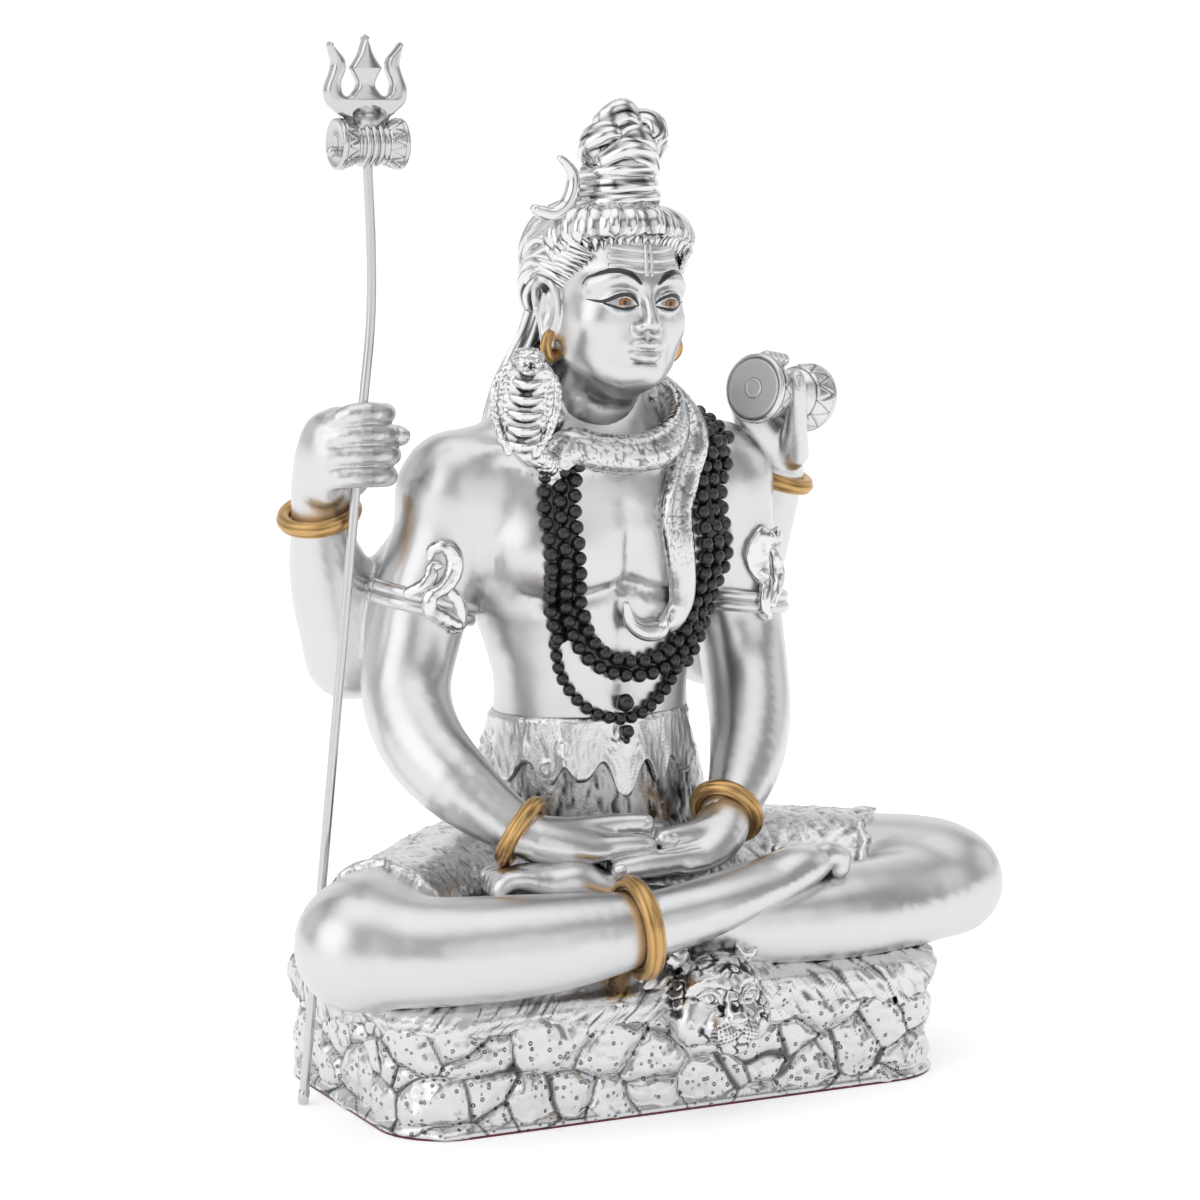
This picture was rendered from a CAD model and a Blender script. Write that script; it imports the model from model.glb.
import itertools
import math

import bpy
import numpy as np
import openvdb
from mathutils import Matrix, Vector
from mathutils.geometry import tessellate_polygon


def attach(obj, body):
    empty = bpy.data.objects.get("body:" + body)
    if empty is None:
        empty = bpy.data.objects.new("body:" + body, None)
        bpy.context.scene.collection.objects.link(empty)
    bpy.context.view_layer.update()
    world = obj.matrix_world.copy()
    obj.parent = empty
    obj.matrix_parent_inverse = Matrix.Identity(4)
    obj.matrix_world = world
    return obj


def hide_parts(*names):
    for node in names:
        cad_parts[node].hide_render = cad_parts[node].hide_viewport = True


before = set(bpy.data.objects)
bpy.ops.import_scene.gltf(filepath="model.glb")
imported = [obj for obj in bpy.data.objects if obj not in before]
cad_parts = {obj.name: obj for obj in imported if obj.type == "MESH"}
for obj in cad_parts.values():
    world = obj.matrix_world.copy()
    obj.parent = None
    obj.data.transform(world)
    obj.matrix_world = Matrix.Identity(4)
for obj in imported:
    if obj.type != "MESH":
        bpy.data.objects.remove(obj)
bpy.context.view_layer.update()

# The looks of a seated silver figure on a rock. Everything is worked out in millimetres in the part's own
# frame and turned into metres when a mesh is made. Points of the figure are measured from the middle of the
# seat, as in the CAD.
MM = 0.001
SEAT = 34.0  # the height of the rock's top
EASE = 0.03  # how much smooth clay is thinned out where it is nearly flat


def seat(points):
    """Points of the figure, measured from the seat, in the part's frame."""
    return np.asarray(points, float) + (0, 0, SEAT)


# Curves and directions


def smooth_path(keys, steps):
    """Catmull-Rom through the rows of keys, in equal shares of the parameter."""
    keys = np.asarray(keys, float)
    first = 2 * keys[0] - keys[1]
    last = 2 * keys[-1] - keys[-2]
    p = np.vstack([first, keys, last])
    t = np.linspace(0, len(keys) - 1, steps + 1)
    i = np.minimum(t.astype(int), len(keys) - 2)
    u = (t - i)[:, None]
    a, b, c, d = p[i], p[i + 1], p[i + 2], p[i + 3]
    return 0.5 * (2 * b + (c - a) * u + (2 * a - 5 * b + 4 * c - d) * u**2 + (3 * b - a - 3 * c + d) * u**3)


def run_along(path):
    """The distance along a path at each of its points."""
    return np.concatenate([[0], np.cumsum(np.linalg.norm(np.diff(path, axis=0), axis=1))])


def at_runs(at, run, rows):
    """The rows that belong to a path's points, read off at other distances along it."""
    return np.stack([np.interp(at, run, column) for column in rows.T], axis=1)


def upright(places):
    """Points in the plane y = 0 from rows that start with x and z."""
    return np.column_stack([places[:, 0], 0 * places[:, 0], places[:, 1]])


def sided(hand, keys):
    """Keys of the figure's left side, or mirrored to its right when hand is -1."""
    return [[hand * key[0], *key[1:]] for key in keys]


def even_path(keys, spacing):
    """The same curve with points an even distance apart."""
    fine = smooth_path(keys, 40 * len(keys))
    run = run_along(fine[:, :3])
    count = max(2, int(round(run[-1] / spacing)))
    return at_runs(np.linspace(0, run[-1], count + 1), run, fine)


def unit(v):
    v = np.asarray(v, float)
    return v / np.maximum(np.linalg.norm(v, axis=-1, keepdims=True), 1e-9)


def turns(count):
    """Angles spaced evenly round a circle."""
    return 2 * math.pi * np.arange(count) / count


def outwards(axis, turn, hint):
    """Directions square to an axis, at angles round it."""
    side = unit(np.cross(axis, hint))
    return np.cos(turn)[:, None] * side + np.sin(turn)[:, None] * np.cross(axis, side)


def frames_along(path, side):
    """Side and depth vectors along a path, the side as near to the given one as it can be."""
    way = unit(np.gradient(path, axis=0))
    side = np.broadcast_to(np.asarray(side, float), way.shape)
    across = unit(side - (side * way).sum(1, keepdims=True) * way)
    return across, np.cross(way, across)


# Noise


def lattice(i, j, k, seed):
    """Repeatable numbers from 0 to 1 at whole-number places."""
    n = (i * 374761393 + j * 668265263 + k * 2147483647 + seed * 144665) & 0xFFFFFFFF
    n = ((n ^ (n >> 13)) * 1274126177) & 0xFFFFFFFF
    n = (n ^ (n >> 16)) & 0xFFFF
    return n / 65535.0


def noise(p, size=1.0, seed=0):
    """Smooth noise from 0 to 1 with lumps of about the given size (one number, or one for each axis)."""
    q = np.asarray(p, float) / size
    whole = np.floor(q).astype(np.int64)
    f = q - whole
    f = f * f * (3 - 2 * f)
    total = 0
    for corner in itertools.product((0, 1), repeat=3):
        share = math.prod(np.abs(1 - corner[k] - f[..., k]) for k in range(3))
        total = total + share * lattice(*(whole[..., k] + corner[k] for k in range(3)), seed)
    return total


def drift(p, size, seed):
    """A smooth shift for each point, half a unit at most along each axis."""
    return np.stack([noise(p, size, seed + k) - 0.5 for k in range(3)], axis=1)


def cells(p, size, seed=0, jitter=0.9):
    """Distances to the nearest and the second nearest of scattered sites, in sites' spacings, and a number
    from 0 to 1 that belongs to the nearest."""
    q = np.asarray(p, float) / size
    whole = np.floor(q).astype(np.int64)
    near = np.full(q.shape[:-1], 9.0)
    second = near.copy()
    name = np.zeros(q.shape[:-1])
    for step in itertools.product((-1, 0, 1), repeat=3):
        site = whole + step
        at = [lattice(*(site[..., axis] for axis in range(3)), seed + 11 * k) for k in range(3)]
        offset = [site[..., k] + 0.5 + jitter * (at[k] - 0.5) - q[..., k] for k in range(3)]
        d = np.linalg.norm(np.stack(offset, axis=-1), axis=-1)
        second = np.minimum(second, np.maximum(near, d))
        name = np.where(d < near, at[0], name)
        near = np.minimum(near, d)
    return near, second, name


def smoothstep(low, high, value):
    t = np.clip((value - low) / (high - low), 0, 1)
    return t * t * (3 - 2 * t)


# Clay


class Clay:
    """A block of space sampled as distances to the surface, on which forms are added and cut."""

    FAR = 5.0  # distances are kept up to this one
    STEEP = 0.05  # the least square of the slope that a step to the surface divides by
    AWAY = 50.0  # where a limb hasn't been measured

    def __init__(self, low, high, step):
        self.low = np.asarray(low, float)
        self.step = step
        self.shape = [int(math.ceil((b - a) / step)) + 1 for a, b in zip(low, high)]
        self.d = np.full(self.shape, self.FAR, np.float32)

    def window(self, low, high):
        """The slices of the block between two corners, and the coordinates there."""
        start = [max(0, int(math.floor((low[k] - self.low[k]) / self.step))) for k in range(3)]
        stop = [min(self.shape[k], int(math.ceil((high[k] - self.low[k]) / self.step)) + 1) for k in range(3)]
        if any(b - a < 1 for a, b in zip(start, stop)):
            return None, None
        axes = [self.low[k] + self.step * np.arange(start[k], stop[k]) for k in range(3)]
        x, y, z = np.meshgrid(*axes, indexing="ij", sparse=True)
        return tuple(slice(a, b) for a, b in zip(start, stop)), (x, y, z)

    def merge(self, where, d, blend, cut):
        old = self.d[where]
        if cut:
            old, d = -old, d
        if blend > 0:
            h = np.clip(0.5 + 0.5 * (old - d) / blend, 0, 1)
            new = old + (d - old) * h - blend * h * (1 - h)
        else:
            new = np.minimum(old, d)
        self.d[where] = np.minimum(-new if cut else new, self.FAR).astype(np.float32)

    def join(self, other, blend):
        """Adds another clay that was worked in the same block."""
        self.merge(tuple(slice(0, n) for n in self.shape), other.d, blend, False)

    def put_on_rock(self):
        """Moves clay that was worked from the middle of the seat to its place in the part."""
        self.low = self.low + (0, 0, SEAT)

    def lump(self, at, radii, turn=(0, 0, 0), blend=2.0, cut=False):
        """Adds or cuts an ellipsoid, turned by Euler angles in degrees."""
        radii = np.asarray(radii, float)
        reach = radii.max() + blend + 3
        where, xyz = self.window(np.asarray(at) - reach, np.asarray(at) + reach)
        if where is None:
            return
        m = np.array(Matrix.Identity(3)) if not any(turn) else np.array(euler(turn))
        q = [sum(m[k][j] * (xyz[k] - at[k]) for k in range(3)) / radii[j] for j in range(3)]
        k0 = np.sqrt(q[0] ** 2 + q[1] ** 2 + q[2] ** 2)
        k1 = np.sqrt(sum((q[j] / radii[j]) ** 2 for j in range(3)))
        self.merge(where, k0 * (k0 - 1) / np.maximum(k1, 1e-6), blend, cut)

    def limb(self, keys, steps=10, side=(1, 0, 0), blend=2.0, cut=False):
        """Adds or cuts a limb through keys [x, y, z, half width, half depth]."""
        keys = [[*key, key[3]] if len(key) == 4 else key for key in keys]
        path = smooth_path(keys, steps)
        across, _ = frames_along(path[:, :3], side)
        reach = path[:, 3:5].max() + blend + 3
        box, _ = self.window(path[:, :3].min(0) - reach, path[:, :3].max(0) + reach)
        if box is None:
            return
        own = np.full([s.stop - s.start for s in box], self.AWAY, np.float32)
        start = [s.start for s in box]
        for i in range(steps):
            a, b = path[i], path[i + 1]
            r = max(a[3:5].max(), b[3:5].max()) + blend + 3
            where, xyz = self.window(np.minimum(a, b)[:3] - r, np.maximum(a, b)[:3] + r)
            if where is None:
                continue
            line = b[:3] - a[:3]
            length = np.linalg.norm(line)
            line = line / length
            w = unit(across[i] + across[i + 1])
            w = unit(w - (w @ line) * line)
            v = np.cross(line, w)
            p = [xyz[k] - a[k] for k in range(3)]
            run = p[0] * line[0] + p[1] * line[1] + p[2] * line[2]
            t = np.clip(run / length, 0, 1)
            ra = a[3] + (b[3] - a[3]) * t
            rb = a[4] + (b[4] - a[4]) * t
            rc = np.minimum(ra, rb)
            qa = p[0] * w[0] + p[1] * w[1] + p[2] * w[2]
            qb = p[0] * v[0] + p[1] * v[1] + p[2] * v[2]
            qc = run - t * length
            k0 = np.sqrt((qa / ra) ** 2 + (qb / rb) ** 2 + (qc / rc) ** 2)
            k1 = np.sqrt((qa / ra**2) ** 2 + (qb / rb**2) ** 2 + (qc / rc**2) ** 2)
            inner = tuple(slice(s.start - o, s.stop - o) for s, o in zip(where, start))
            own[inner] = np.minimum(own[inner], k0 * (k0 - 1) / np.maximum(k1, 1e-6))
        self.merge(box, own, blend, cut)

    def soften(self, times=1):
        """Evens the clay out with its neighbours."""
        for _ in range(times):
            for axis in range(3):
                place = np.arange(self.shape[axis])
                ahead, behind = (
                    np.take(self.d, np.clip(place + step, 0, place[-1]), axis) for step in (1, -1))
                self.d = 0.5 * self.d + 0.25 * (ahead + behind)

    def read(self, points):
        """The distance and its slope at points, by trilinear interpolation."""
        q = (points - self.low) / self.step
        q = np.clip(q, 0, np.array(self.shape) - 1.001)
        i = q.astype(int)
        f = q - i
        fx, fy, fz = f.T
        corner = {
            offset: self.d[i[:, 0] + offset[0], i[:, 1] + offset[1], i[:, 2] + offset[2]]
            for offset in itertools.product((0, 1), repeat=3)}

        def mix(low, high, share):
            return low + (high - low) * share

        x0, x1 = (
            mix(mix(corner[a, 0, 0], corner[a, 0, 1], fz), mix(corner[a, 1, 0], corner[a, 1, 1], fz), fy)
            for a in (0, 1))
        y0, y1 = (
            mix(mix(corner[0, b, 0], corner[1, b, 0], fx), mix(corner[0, b, 1], corner[1, b, 1], fx), fz)
            for b in (0, 1))
        z0, z1 = (
            mix(mix(corner[0, 0, c], corner[1, 0, c], fx), mix(corner[0, 1, c], corner[1, 1, c], fx), fy)
            for c in (0, 1))
        slope = np.stack([x1 - x0, y1 - y0, z1 - z0], axis=1) / self.step
        return mix(x0, x1, fx), slope

    def skin(self, ease=0.0):
        """The surface as points, faces and outward normals. More ease gives fewer faces where it is flat."""
        grid = openvdb.FloatGrid(self.FAR)
        grid.copyFromArray(np.ascontiguousarray(self.d))
        points, triangles, quads = grid.convertToPolygons(0.0, ease)
        points = points.astype(float) * self.step + self.low
        for _ in range(3):
            d, slope = self.read(points)
            away = np.clip(d / np.maximum((slope**2).sum(1), self.STEEP), -self.step / 2, self.step / 2)
            points = points - slope * away[:, None]
        _, slope = self.read(points)
        return points, [f for f in (triangles, quads) if len(f)], unit(slope)


def euler(degrees):
    x, y, z = (math.radians(v) for v in degrees)
    return Matrix.Rotation(z, 3, "Z") @ Matrix.Rotation(y, 3, "Y") @ Matrix.Rotation(x, 3, "X")


# Meshes


def make(name, points, faces, material, normals=None, hollow=None):
    """One piece of the object, from points in millimetres and one or more arrays of faces."""
    faces = faces if isinstance(faces, list) else [faces]
    mesh = bpy.data.meshes.new(name)
    mesh.vertices.add(len(points))
    mesh.vertices.foreach_set("co", (np.asarray(points, float) * MM).astype(np.float32).ravel())
    sizes = np.concatenate([np.full(len(f), f.shape[1]) for f in faces])
    mesh.loops.add(int(sizes.sum()))
    mesh.loops.foreach_set("vertex_index", np.concatenate([f.ravel() for f in faces]).astype(np.int32))
    mesh.polygons.add(len(sizes))
    mesh.polygons.foreach_set("loop_start", (np.cumsum(sizes) - sizes).astype(np.int32))
    mesh.update(calc_edges=True)
    mesh.validate()
    mesh.polygons.foreach_set("use_smooth", np.full(len(mesh.polygons), True))
    if hollow is not None:
        mesh.attributes.new("hollow", "FLOAT", "POINT").data.foreach_set("value", hollow.astype(np.float32))
    if normals is not None:
        mesh.normals_split_custom_set_from_vertices(normals.astype(np.float32))
    piece = bpy.data.objects.new(name, mesh)
    bpy.context.scene.collection.objects.link(piece)
    mesh.materials.append(material)
    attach(piece, "root")
    return piece


def grid_faces(rows, columns, closed=False):
    """Quads over a grid of points stored row by row. Its last column meets its first, and its last row meets
    its first when it is closed."""
    r, c = np.meshgrid(np.arange(rows if closed else rows - 1), np.arange(columns), indexing="ij")
    r, c = r.ravel(), c.ravel()
    r1, c1 = (r + 1) % rows, (c + 1) % columns
    return np.stack([r * columns + c, r * columns + c1, r1 * columns + c1, r1 * columns + c], axis=1)


def fans(first, sides, rows):
    """The triangles that close a grid's first and last rows, round the two points from number first on."""
    k = np.arange(sides)
    base = (rows - 1) * sides
    return [
        np.stack([np.full(sides, first), (k + 1) % sides, k], axis=1),
        np.stack([np.full(sides, first + 1), base + k, base + (k + 1) % sides], axis=1)]


def tube(path, girth, sides, side=(1, 0, 0), shape=None):
    """A closed tube: path (n, 3), girth (n, 2) half width and depth. shape(turn, run) scales the section."""
    across, deep = frames_along(path, side)
    turn = turns(sides)
    scale = np.ones((len(path), sides))
    if shape is not None:
        run = run_along(path)
        scale = shape(turn[None, :], run[:, None])
    rings = (
        path[:, None, :]
        + (scale * girth[:, :1] * np.cos(turn))[..., None] * across[:, None, :]
        + (scale * girth[:, 1:2] * np.sin(turn))[..., None] * deep[:, None, :])
    points = np.concatenate([rings.reshape(-1, 3), path[:1], path[-1:]])
    return points, [grid_faces(len(path), sides), *fans(len(points) - 2, sides, len(path))]


def rounded_ends(path, girth, steps=5):
    """A path and its girth with hemispherical ends added."""
    angles = np.linspace(0, math.pi / 2, steps + 1)[1:] * 0.97
    caps = []
    for i, inner in ((0, 1), (-1, -2)):
        way = unit(path[i] - path[inner])
        rounding = np.outer(np.sin(angles) * min(girth[i]), way)
        caps.append((path[i] + rounding, np.outer(np.cos(angles), girth[i])))
    (start, start_girth), (end, end_girth) = caps
    return np.concatenate([start[::-1], path, end]), np.concatenate([start_girth[::-1], girth, end_girth])


def gather(parts):
    """Several (points, faces) as one."""
    points, faces, base = [], {}, 0
    for p, f in parts:
        points.append(p)
        for array in (f if isinstance(f, list) else [f]):
            faces.setdefault(array.shape[1], []).append(array + base)
        base += len(p)
    return np.concatenate(points), [np.concatenate(a) for a in faces.values()]


def torus(middle, axis, radius, section, around=72):
    """A ring whose section is a closed list of [out, along the axis] points."""
    axis = unit(axis)
    section = np.asarray(section, float)
    out = outwards(axis, turns(around), (0.3, 0.2, 0.93))
    points = (
        np.asarray(middle, float)
        + (radius + section[None, :, 0])[..., None] * out[:, None, :]
        + section[None, :, 1, None] * axis)
    return points.reshape(-1, 3), grid_faces(around, len(section), closed=True)


def lathe(profile, middle, axis, sides=64, shape=None):
    """A turned body: profile points [along, radius]; shape(turn, index) adds to the radius."""
    axis = unit(axis)
    profile = np.asarray(profile, float)
    turn = turns(sides)
    radius = np.repeat(profile[:, 1:2], sides, axis=1)
    if shape is not None:
        radius = radius + shape(turn[None, :], np.arange(len(profile))[:, None])
    out = outwards(axis, turn, (0.13, 0.21, 0.97))
    points = np.asarray(middle, float) + radius[..., None] * out + profile[:, 0][:, None, None] * axis
    points = points.reshape(-1, 3)
    ends = np.stack([middle + profile[0, 0] * axis, middle + profile[-1, 0] * axis])
    faces = [grid_faces(len(profile), sides), *fans(len(points), sides, len(profile))]
    return np.concatenate([points, ends]), faces


def shut_in(clay, points, normals, reach=4.0):
    """How far each point is down in a hollow, from 0 to 1, read from the clay's distances ahead of it."""
    total = np.zeros(len(points))
    for share in (0.35, 0.7, 1.0):
        d, _ = clay.read(points + normals * reach * share)
        total += np.clip(1 - d / (reach * share), 0, 1)
    return np.clip(total / 3, 0, 1)


def part_of(faces, keep):
    """The numbers of the points that the kept faces use, and those faces with their points renumbered."""
    kept = [f[k] for f, k in zip(faces, keep)]
    used, index = np.unique(np.concatenate([f.ravel() for f in kept]), return_inverse=True)
    ends = np.cumsum([f.size for f in kept])
    return used, [part.reshape(f.shape) for part, f in zip(np.split(index, ends[:-1]), kept) if f.size]


def buried(points, faces, clays, depth=1.6):
    """For each list of faces, whether a face lies wholly inside one of some other clays."""
    deep = np.zeros(len(points), bool)
    for clay in clays:
        deep |= clay.read(points)[0] < -depth
    return [deep[f].all(axis=1) for f in faces]


def clay_pieces(name, clay, split=None, reach=4.0, place=None, within=(), above=-1e3):
    """The clay's skin as one silver piece, or as one for each value of split(points). Faces within other
    clays or below a height are left out. place = (turn, move) puts clay worked straight on in its place."""
    points, faces, normals = clay.skin(EASE)
    hollow = shut_in(clay, points, normals, reach)
    hidden = buried(points, faces, within)
    if place is not None:
        points = points @ place[0].T + place[1]
        normals = normals @ place[0].T
    middles = [points[f].mean(axis=1) for f in faces]
    shown = [~h & (m[:, 2] > above) for h, m in zip(hidden, middles)]
    groups = [np.zeros(len(m), int) if split is None else split(m) for m in middles]
    for value in np.unique(np.concatenate(groups)):
        used, own = part_of(faces, [s & (g == value) for s, g in zip(shown, groups)])
        label = name if split is None else f"{name}_{value}"
        make(label, points[used], own, SKIN, normals=normals[used], hollow=hollow[used])


# Materials


def shader(name):
    """A new material, and short ways to add and join its nodes."""
    material = bpy.data.materials.new(name)
    material.use_nodes = True
    nodes, links = material.node_tree.nodes, material.node_tree.links
    surface = nodes["Principled BSDF"]

    def add(kind, **values):
        node = nodes.new(kind)
        for key, value in values.items():
            if hasattr(node, key):
                setattr(node, key, value)
            else:
                node.inputs[key.replace("_", " ")].default_value = value
        return node

    def join(a, out, b, into):
        links.new(a.outputs[out], b.inputs[into])

    return material, surface, add, join


def ramp(add, stops):
    node = add("ShaderNodeValToRGB")
    elements = node.color_ramp.elements
    for i, (place, shade) in enumerate(stops):
        element = elements[i] if i < 2 else elements.new(place)
        element.position = place
        element.color = (*shade, 1) if isinstance(shade, tuple) else (shade, shade, shade, 1)
    return node


SPREAD = 0.06  # how much the roughness of a metal varies over it


def silver(name, bright, roughness, dark, grain=0.0, grain_size=900, patina=1.0, pits=0):
    """Silver plating with patina in the hollows, fine grain on its sheen and, on stone, small round pits."""
    material, surface, add, join = shader(name)
    surface.inputs["Metallic"].default_value = 1.0
    where = add("ShaderNodeTexCoord")
    hollow = add("ShaderNodeAttribute", attribute_name="hollow")
    cloud = add("ShaderNodeTexNoise", Scale=90.0, Detail=6.0)
    join(where, "Object", cloud, "Vector")
    depth = add("ShaderNodeMath", operation="MULTIPLY_ADD")
    join(hollow, "Fac", depth, 0)
    depth.inputs[1].default_value = patina
    shift = add("ShaderNodeMath", operation="MULTIPLY_ADD")
    join(cloud, "Fac", shift, 0)
    shift.inputs[1].default_value = 0.25
    shift.inputs[2].default_value = -0.125
    join(shift, 0, depth, 2)
    tone = ramp(add, [(0.25, bright), (0.5, tuple(0.62 * v for v in bright)), (0.85, dark)])
    join(depth, 0, tone, "Fac")
    if pits:
        dimple = add("ShaderNodeTexVoronoi", Scale=pits)
        join(where, "Object", dimple, "Vector")
        rim = ramp(add, [(0.1, 0.8), (0.17, 0.22), (0.3, 1.0)])
        join(dimple, "Distance", rim, "Fac")
        both = add("ShaderNodeVectorMath", operation="MULTIPLY")
        join(tone, "Color", both, 0)
        join(rim, "Color", both, 1)
        join(both, "Vector", surface, "Base Color")
    else:
        join(tone, "Color", surface, "Base Color")
    rough = add("ShaderNodeMapRange")
    join(cloud, "Fac", rough, "Value")
    rough.inputs["From Min"].default_value = 0.3
    rough.inputs["From Max"].default_value = 0.7
    rough.inputs["To Min"].default_value = roughness - SPREAD / 2
    rough.inputs["To Max"].default_value = roughness + SPREAD / 2
    join(rough, 0, surface, "Roughness")
    if grain:
        fine = add("ShaderNodeTexNoise", Scale=grain_size, Detail=3.0)
        join(where, "Object", fine, "Vector")
        bump = add("ShaderNodeBump", Strength=grain, Distance=0.0002)
        join(fine, "Fac", bump, "Height")
        join(bump, 0, surface, "Normal")
        if pits:
            dent = add("ShaderNodeBump", Strength=0.8, Distance=0.0004)
            join(rim, "Color", dent, "Height")
            join(bump, 0, dent, "Normal")
            join(dent, 0, surface, "Normal")
    return material


def paint(name, shade, roughness, coat):
    """A lacquer with a faint unevenness."""
    material, surface, add, join = shader(name)
    where = add("ShaderNodeTexCoord")
    cloud = add("ShaderNodeTexNoise", Scale=220.0, Detail=4.0)
    join(where, "Object", cloud, "Vector")
    tone = ramp(add, [(0.3, tuple(0.75 * v for v in shade)), (0.7, shade)])
    join(cloud, "Fac", tone, "Fac")
    join(tone, "Color", surface, "Base Color")
    surface.inputs["Roughness"].default_value = roughness
    surface.inputs["Coat Weight"].default_value = coat
    bump = add("ShaderNodeBump", Strength=0.08, Distance=0.0002)
    join(cloud, "Fac", bump, "Height")
    join(bump, 0, surface, "Normal")
    return material


SKIN = silver("silver_skin", (0.69, 0.69, 0.7), 0.32, dark=0.24, grain=0.05, patina=0.5)
BRIGHT = silver("silver_bright", (0.76, 0.76, 0.77), 0.13, dark=0.02, grain=0.05)
CARVED = silver("silver_carved", (0.7, 0.7, 0.71), 0.2, dark=0.03, grain=0.25, grain_size=2600, patina=1.1)
POLISHED = silver("silver_polished", (0.74, 0.74, 0.75), 0.09, dark=0.03)
STEEL = silver("silver_steel", (0.6, 0.6, 0.61), 0.16, dark=0.03)
DRUMHEAD = silver("silver_drumhead", (0.74, 0.74, 0.75), 0.4, dark=0.3, grain=0.1, patina=0.6)
DRUMHEAD.node_tree.nodes["Principled BSDF"].inputs["Metallic"].default_value = 0.45
FUR = silver("silver_fur", (0.72, 0.72, 0.73), 0.27, dark=0.05, grain=0.5, grain_size=1500)
STONE = silver("silver_stone", (0.69, 0.69, 0.7), 0.2, dark=0.06, grain=0.3, grain_size=1300, pits=430)
INK = paint("black_ink", (0.015, 0.014, 0.014), 0.3, coat=0.4)
EYE_WHITE = paint("eye_grey", (0.42, 0.42, 0.43), 0.25, coat=0.5)
EYE_AMBER = paint("eye_amber", (0.33, 0.125, 0.02), 0.2, coat=0.6)
GOLD = silver("gold_lacquer", (0.6, 0.37, 0.155), 0.3, dark=0.07, grain=0.08, grain_size=1500, patina=0.8)
BEADS = paint("black_beads", (0.016, 0.013, 0.014), 0.22, coat=0.25)

# The body

TRUNK = [
    [0, 17, 18, 35, 27], [0, 17, 36, 35, 26.5], [0, 15.5, 52, 30.5, 22.5], [0, 14, 66, 28, 20.3],
    [0, 14, 78, 28.6, 20], [0, 14, 92, 33, 21.3], [0, 13, 106, 38.5, 23], [0, 13, 118, 42, 23.5],
    [0, 14, 129, 42, 20.5], [0, 16, 137, 35, 15.5], [0, 14, 143.5, 20, 12.5], [0, 12, 147, 14, 11]]
FRONT_ARMS = {
    -1: [
        [-24, 17, 130, 9, 9], [-37.5, 16, 128, 14.5, 14], [-41, 15.5, 117, 14.6, 14.6],
        [-48.4, 15.5, 101, 13.5, 13.6], [-52.8, 14.5, 87, 12.6, 12.8], [-57.2, 9.5, 74, 12, 12.4],
        [-57.6, -1, 62.5, 11.3, 11.8], [-53, -12, 53, 10.2, 10.4], [-46, -20, 45.5, 8.4, 8.2],
        [-39, -26.5, 40, 7, 6.2]],
    1: [
        [24, 17, 130, 9, 9], [37.5, 16, 128, 14.5, 14], [41, 15.5, 117, 14.6, 14.6],
        [44.5, 15.5, 101, 13.3, 13.6], [46.4, 14.5, 87, 12.3, 12.8], [45.8, 9.5, 74, 12, 12.4],
        [42.4, 0, 62, 11.3, 11.8], [36.8, -8.5, 52, 10.2, 10.4], [30.2, -15.5, 44.5, 8.4, 8.2],
        [23, -21.5, 39, 7, 6.2]]}
REAR_UPPER_ARMS = {
    -1: [
        [-26, 20, 126, 9], [-34, 22, 122, 12], [-42, 29, 108, 11.5], [-52.5, 35, 92, 11.6],
        [-61, 38.5, 80.5, 11.6]],
    1: [
        [26, 20, 126, 9], [34, 22, 122, 12], [40, 29, 107, 11.5], [46, 36, 90, 11.8],
        [50.5, 39.5, 76.5, 11.6]]}
REAR_FOREARMS = {
    -1: [
        [-61.5, 38, 80.5, 11.4, 11.4], [-65.6, 36, 94, 12, 11.8], [-70, 32.5, 106, 10.4, 10.6],
        [-74.6, 26, 116, 7.8, 7.8], [-76.2, 22.5, 121.5, 7, 6.8]],
    1: [
        [50.5, 39.5, 76.5, 11.2, 11.2], [57.6, 37, 92, 11.6, 11.8], [61, 32.5, 107, 10.4, 10.6],
        [62.6, 26, 118, 8.2, 8.2], [62.6, 21, 126, 7, 6.8]]}


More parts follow.
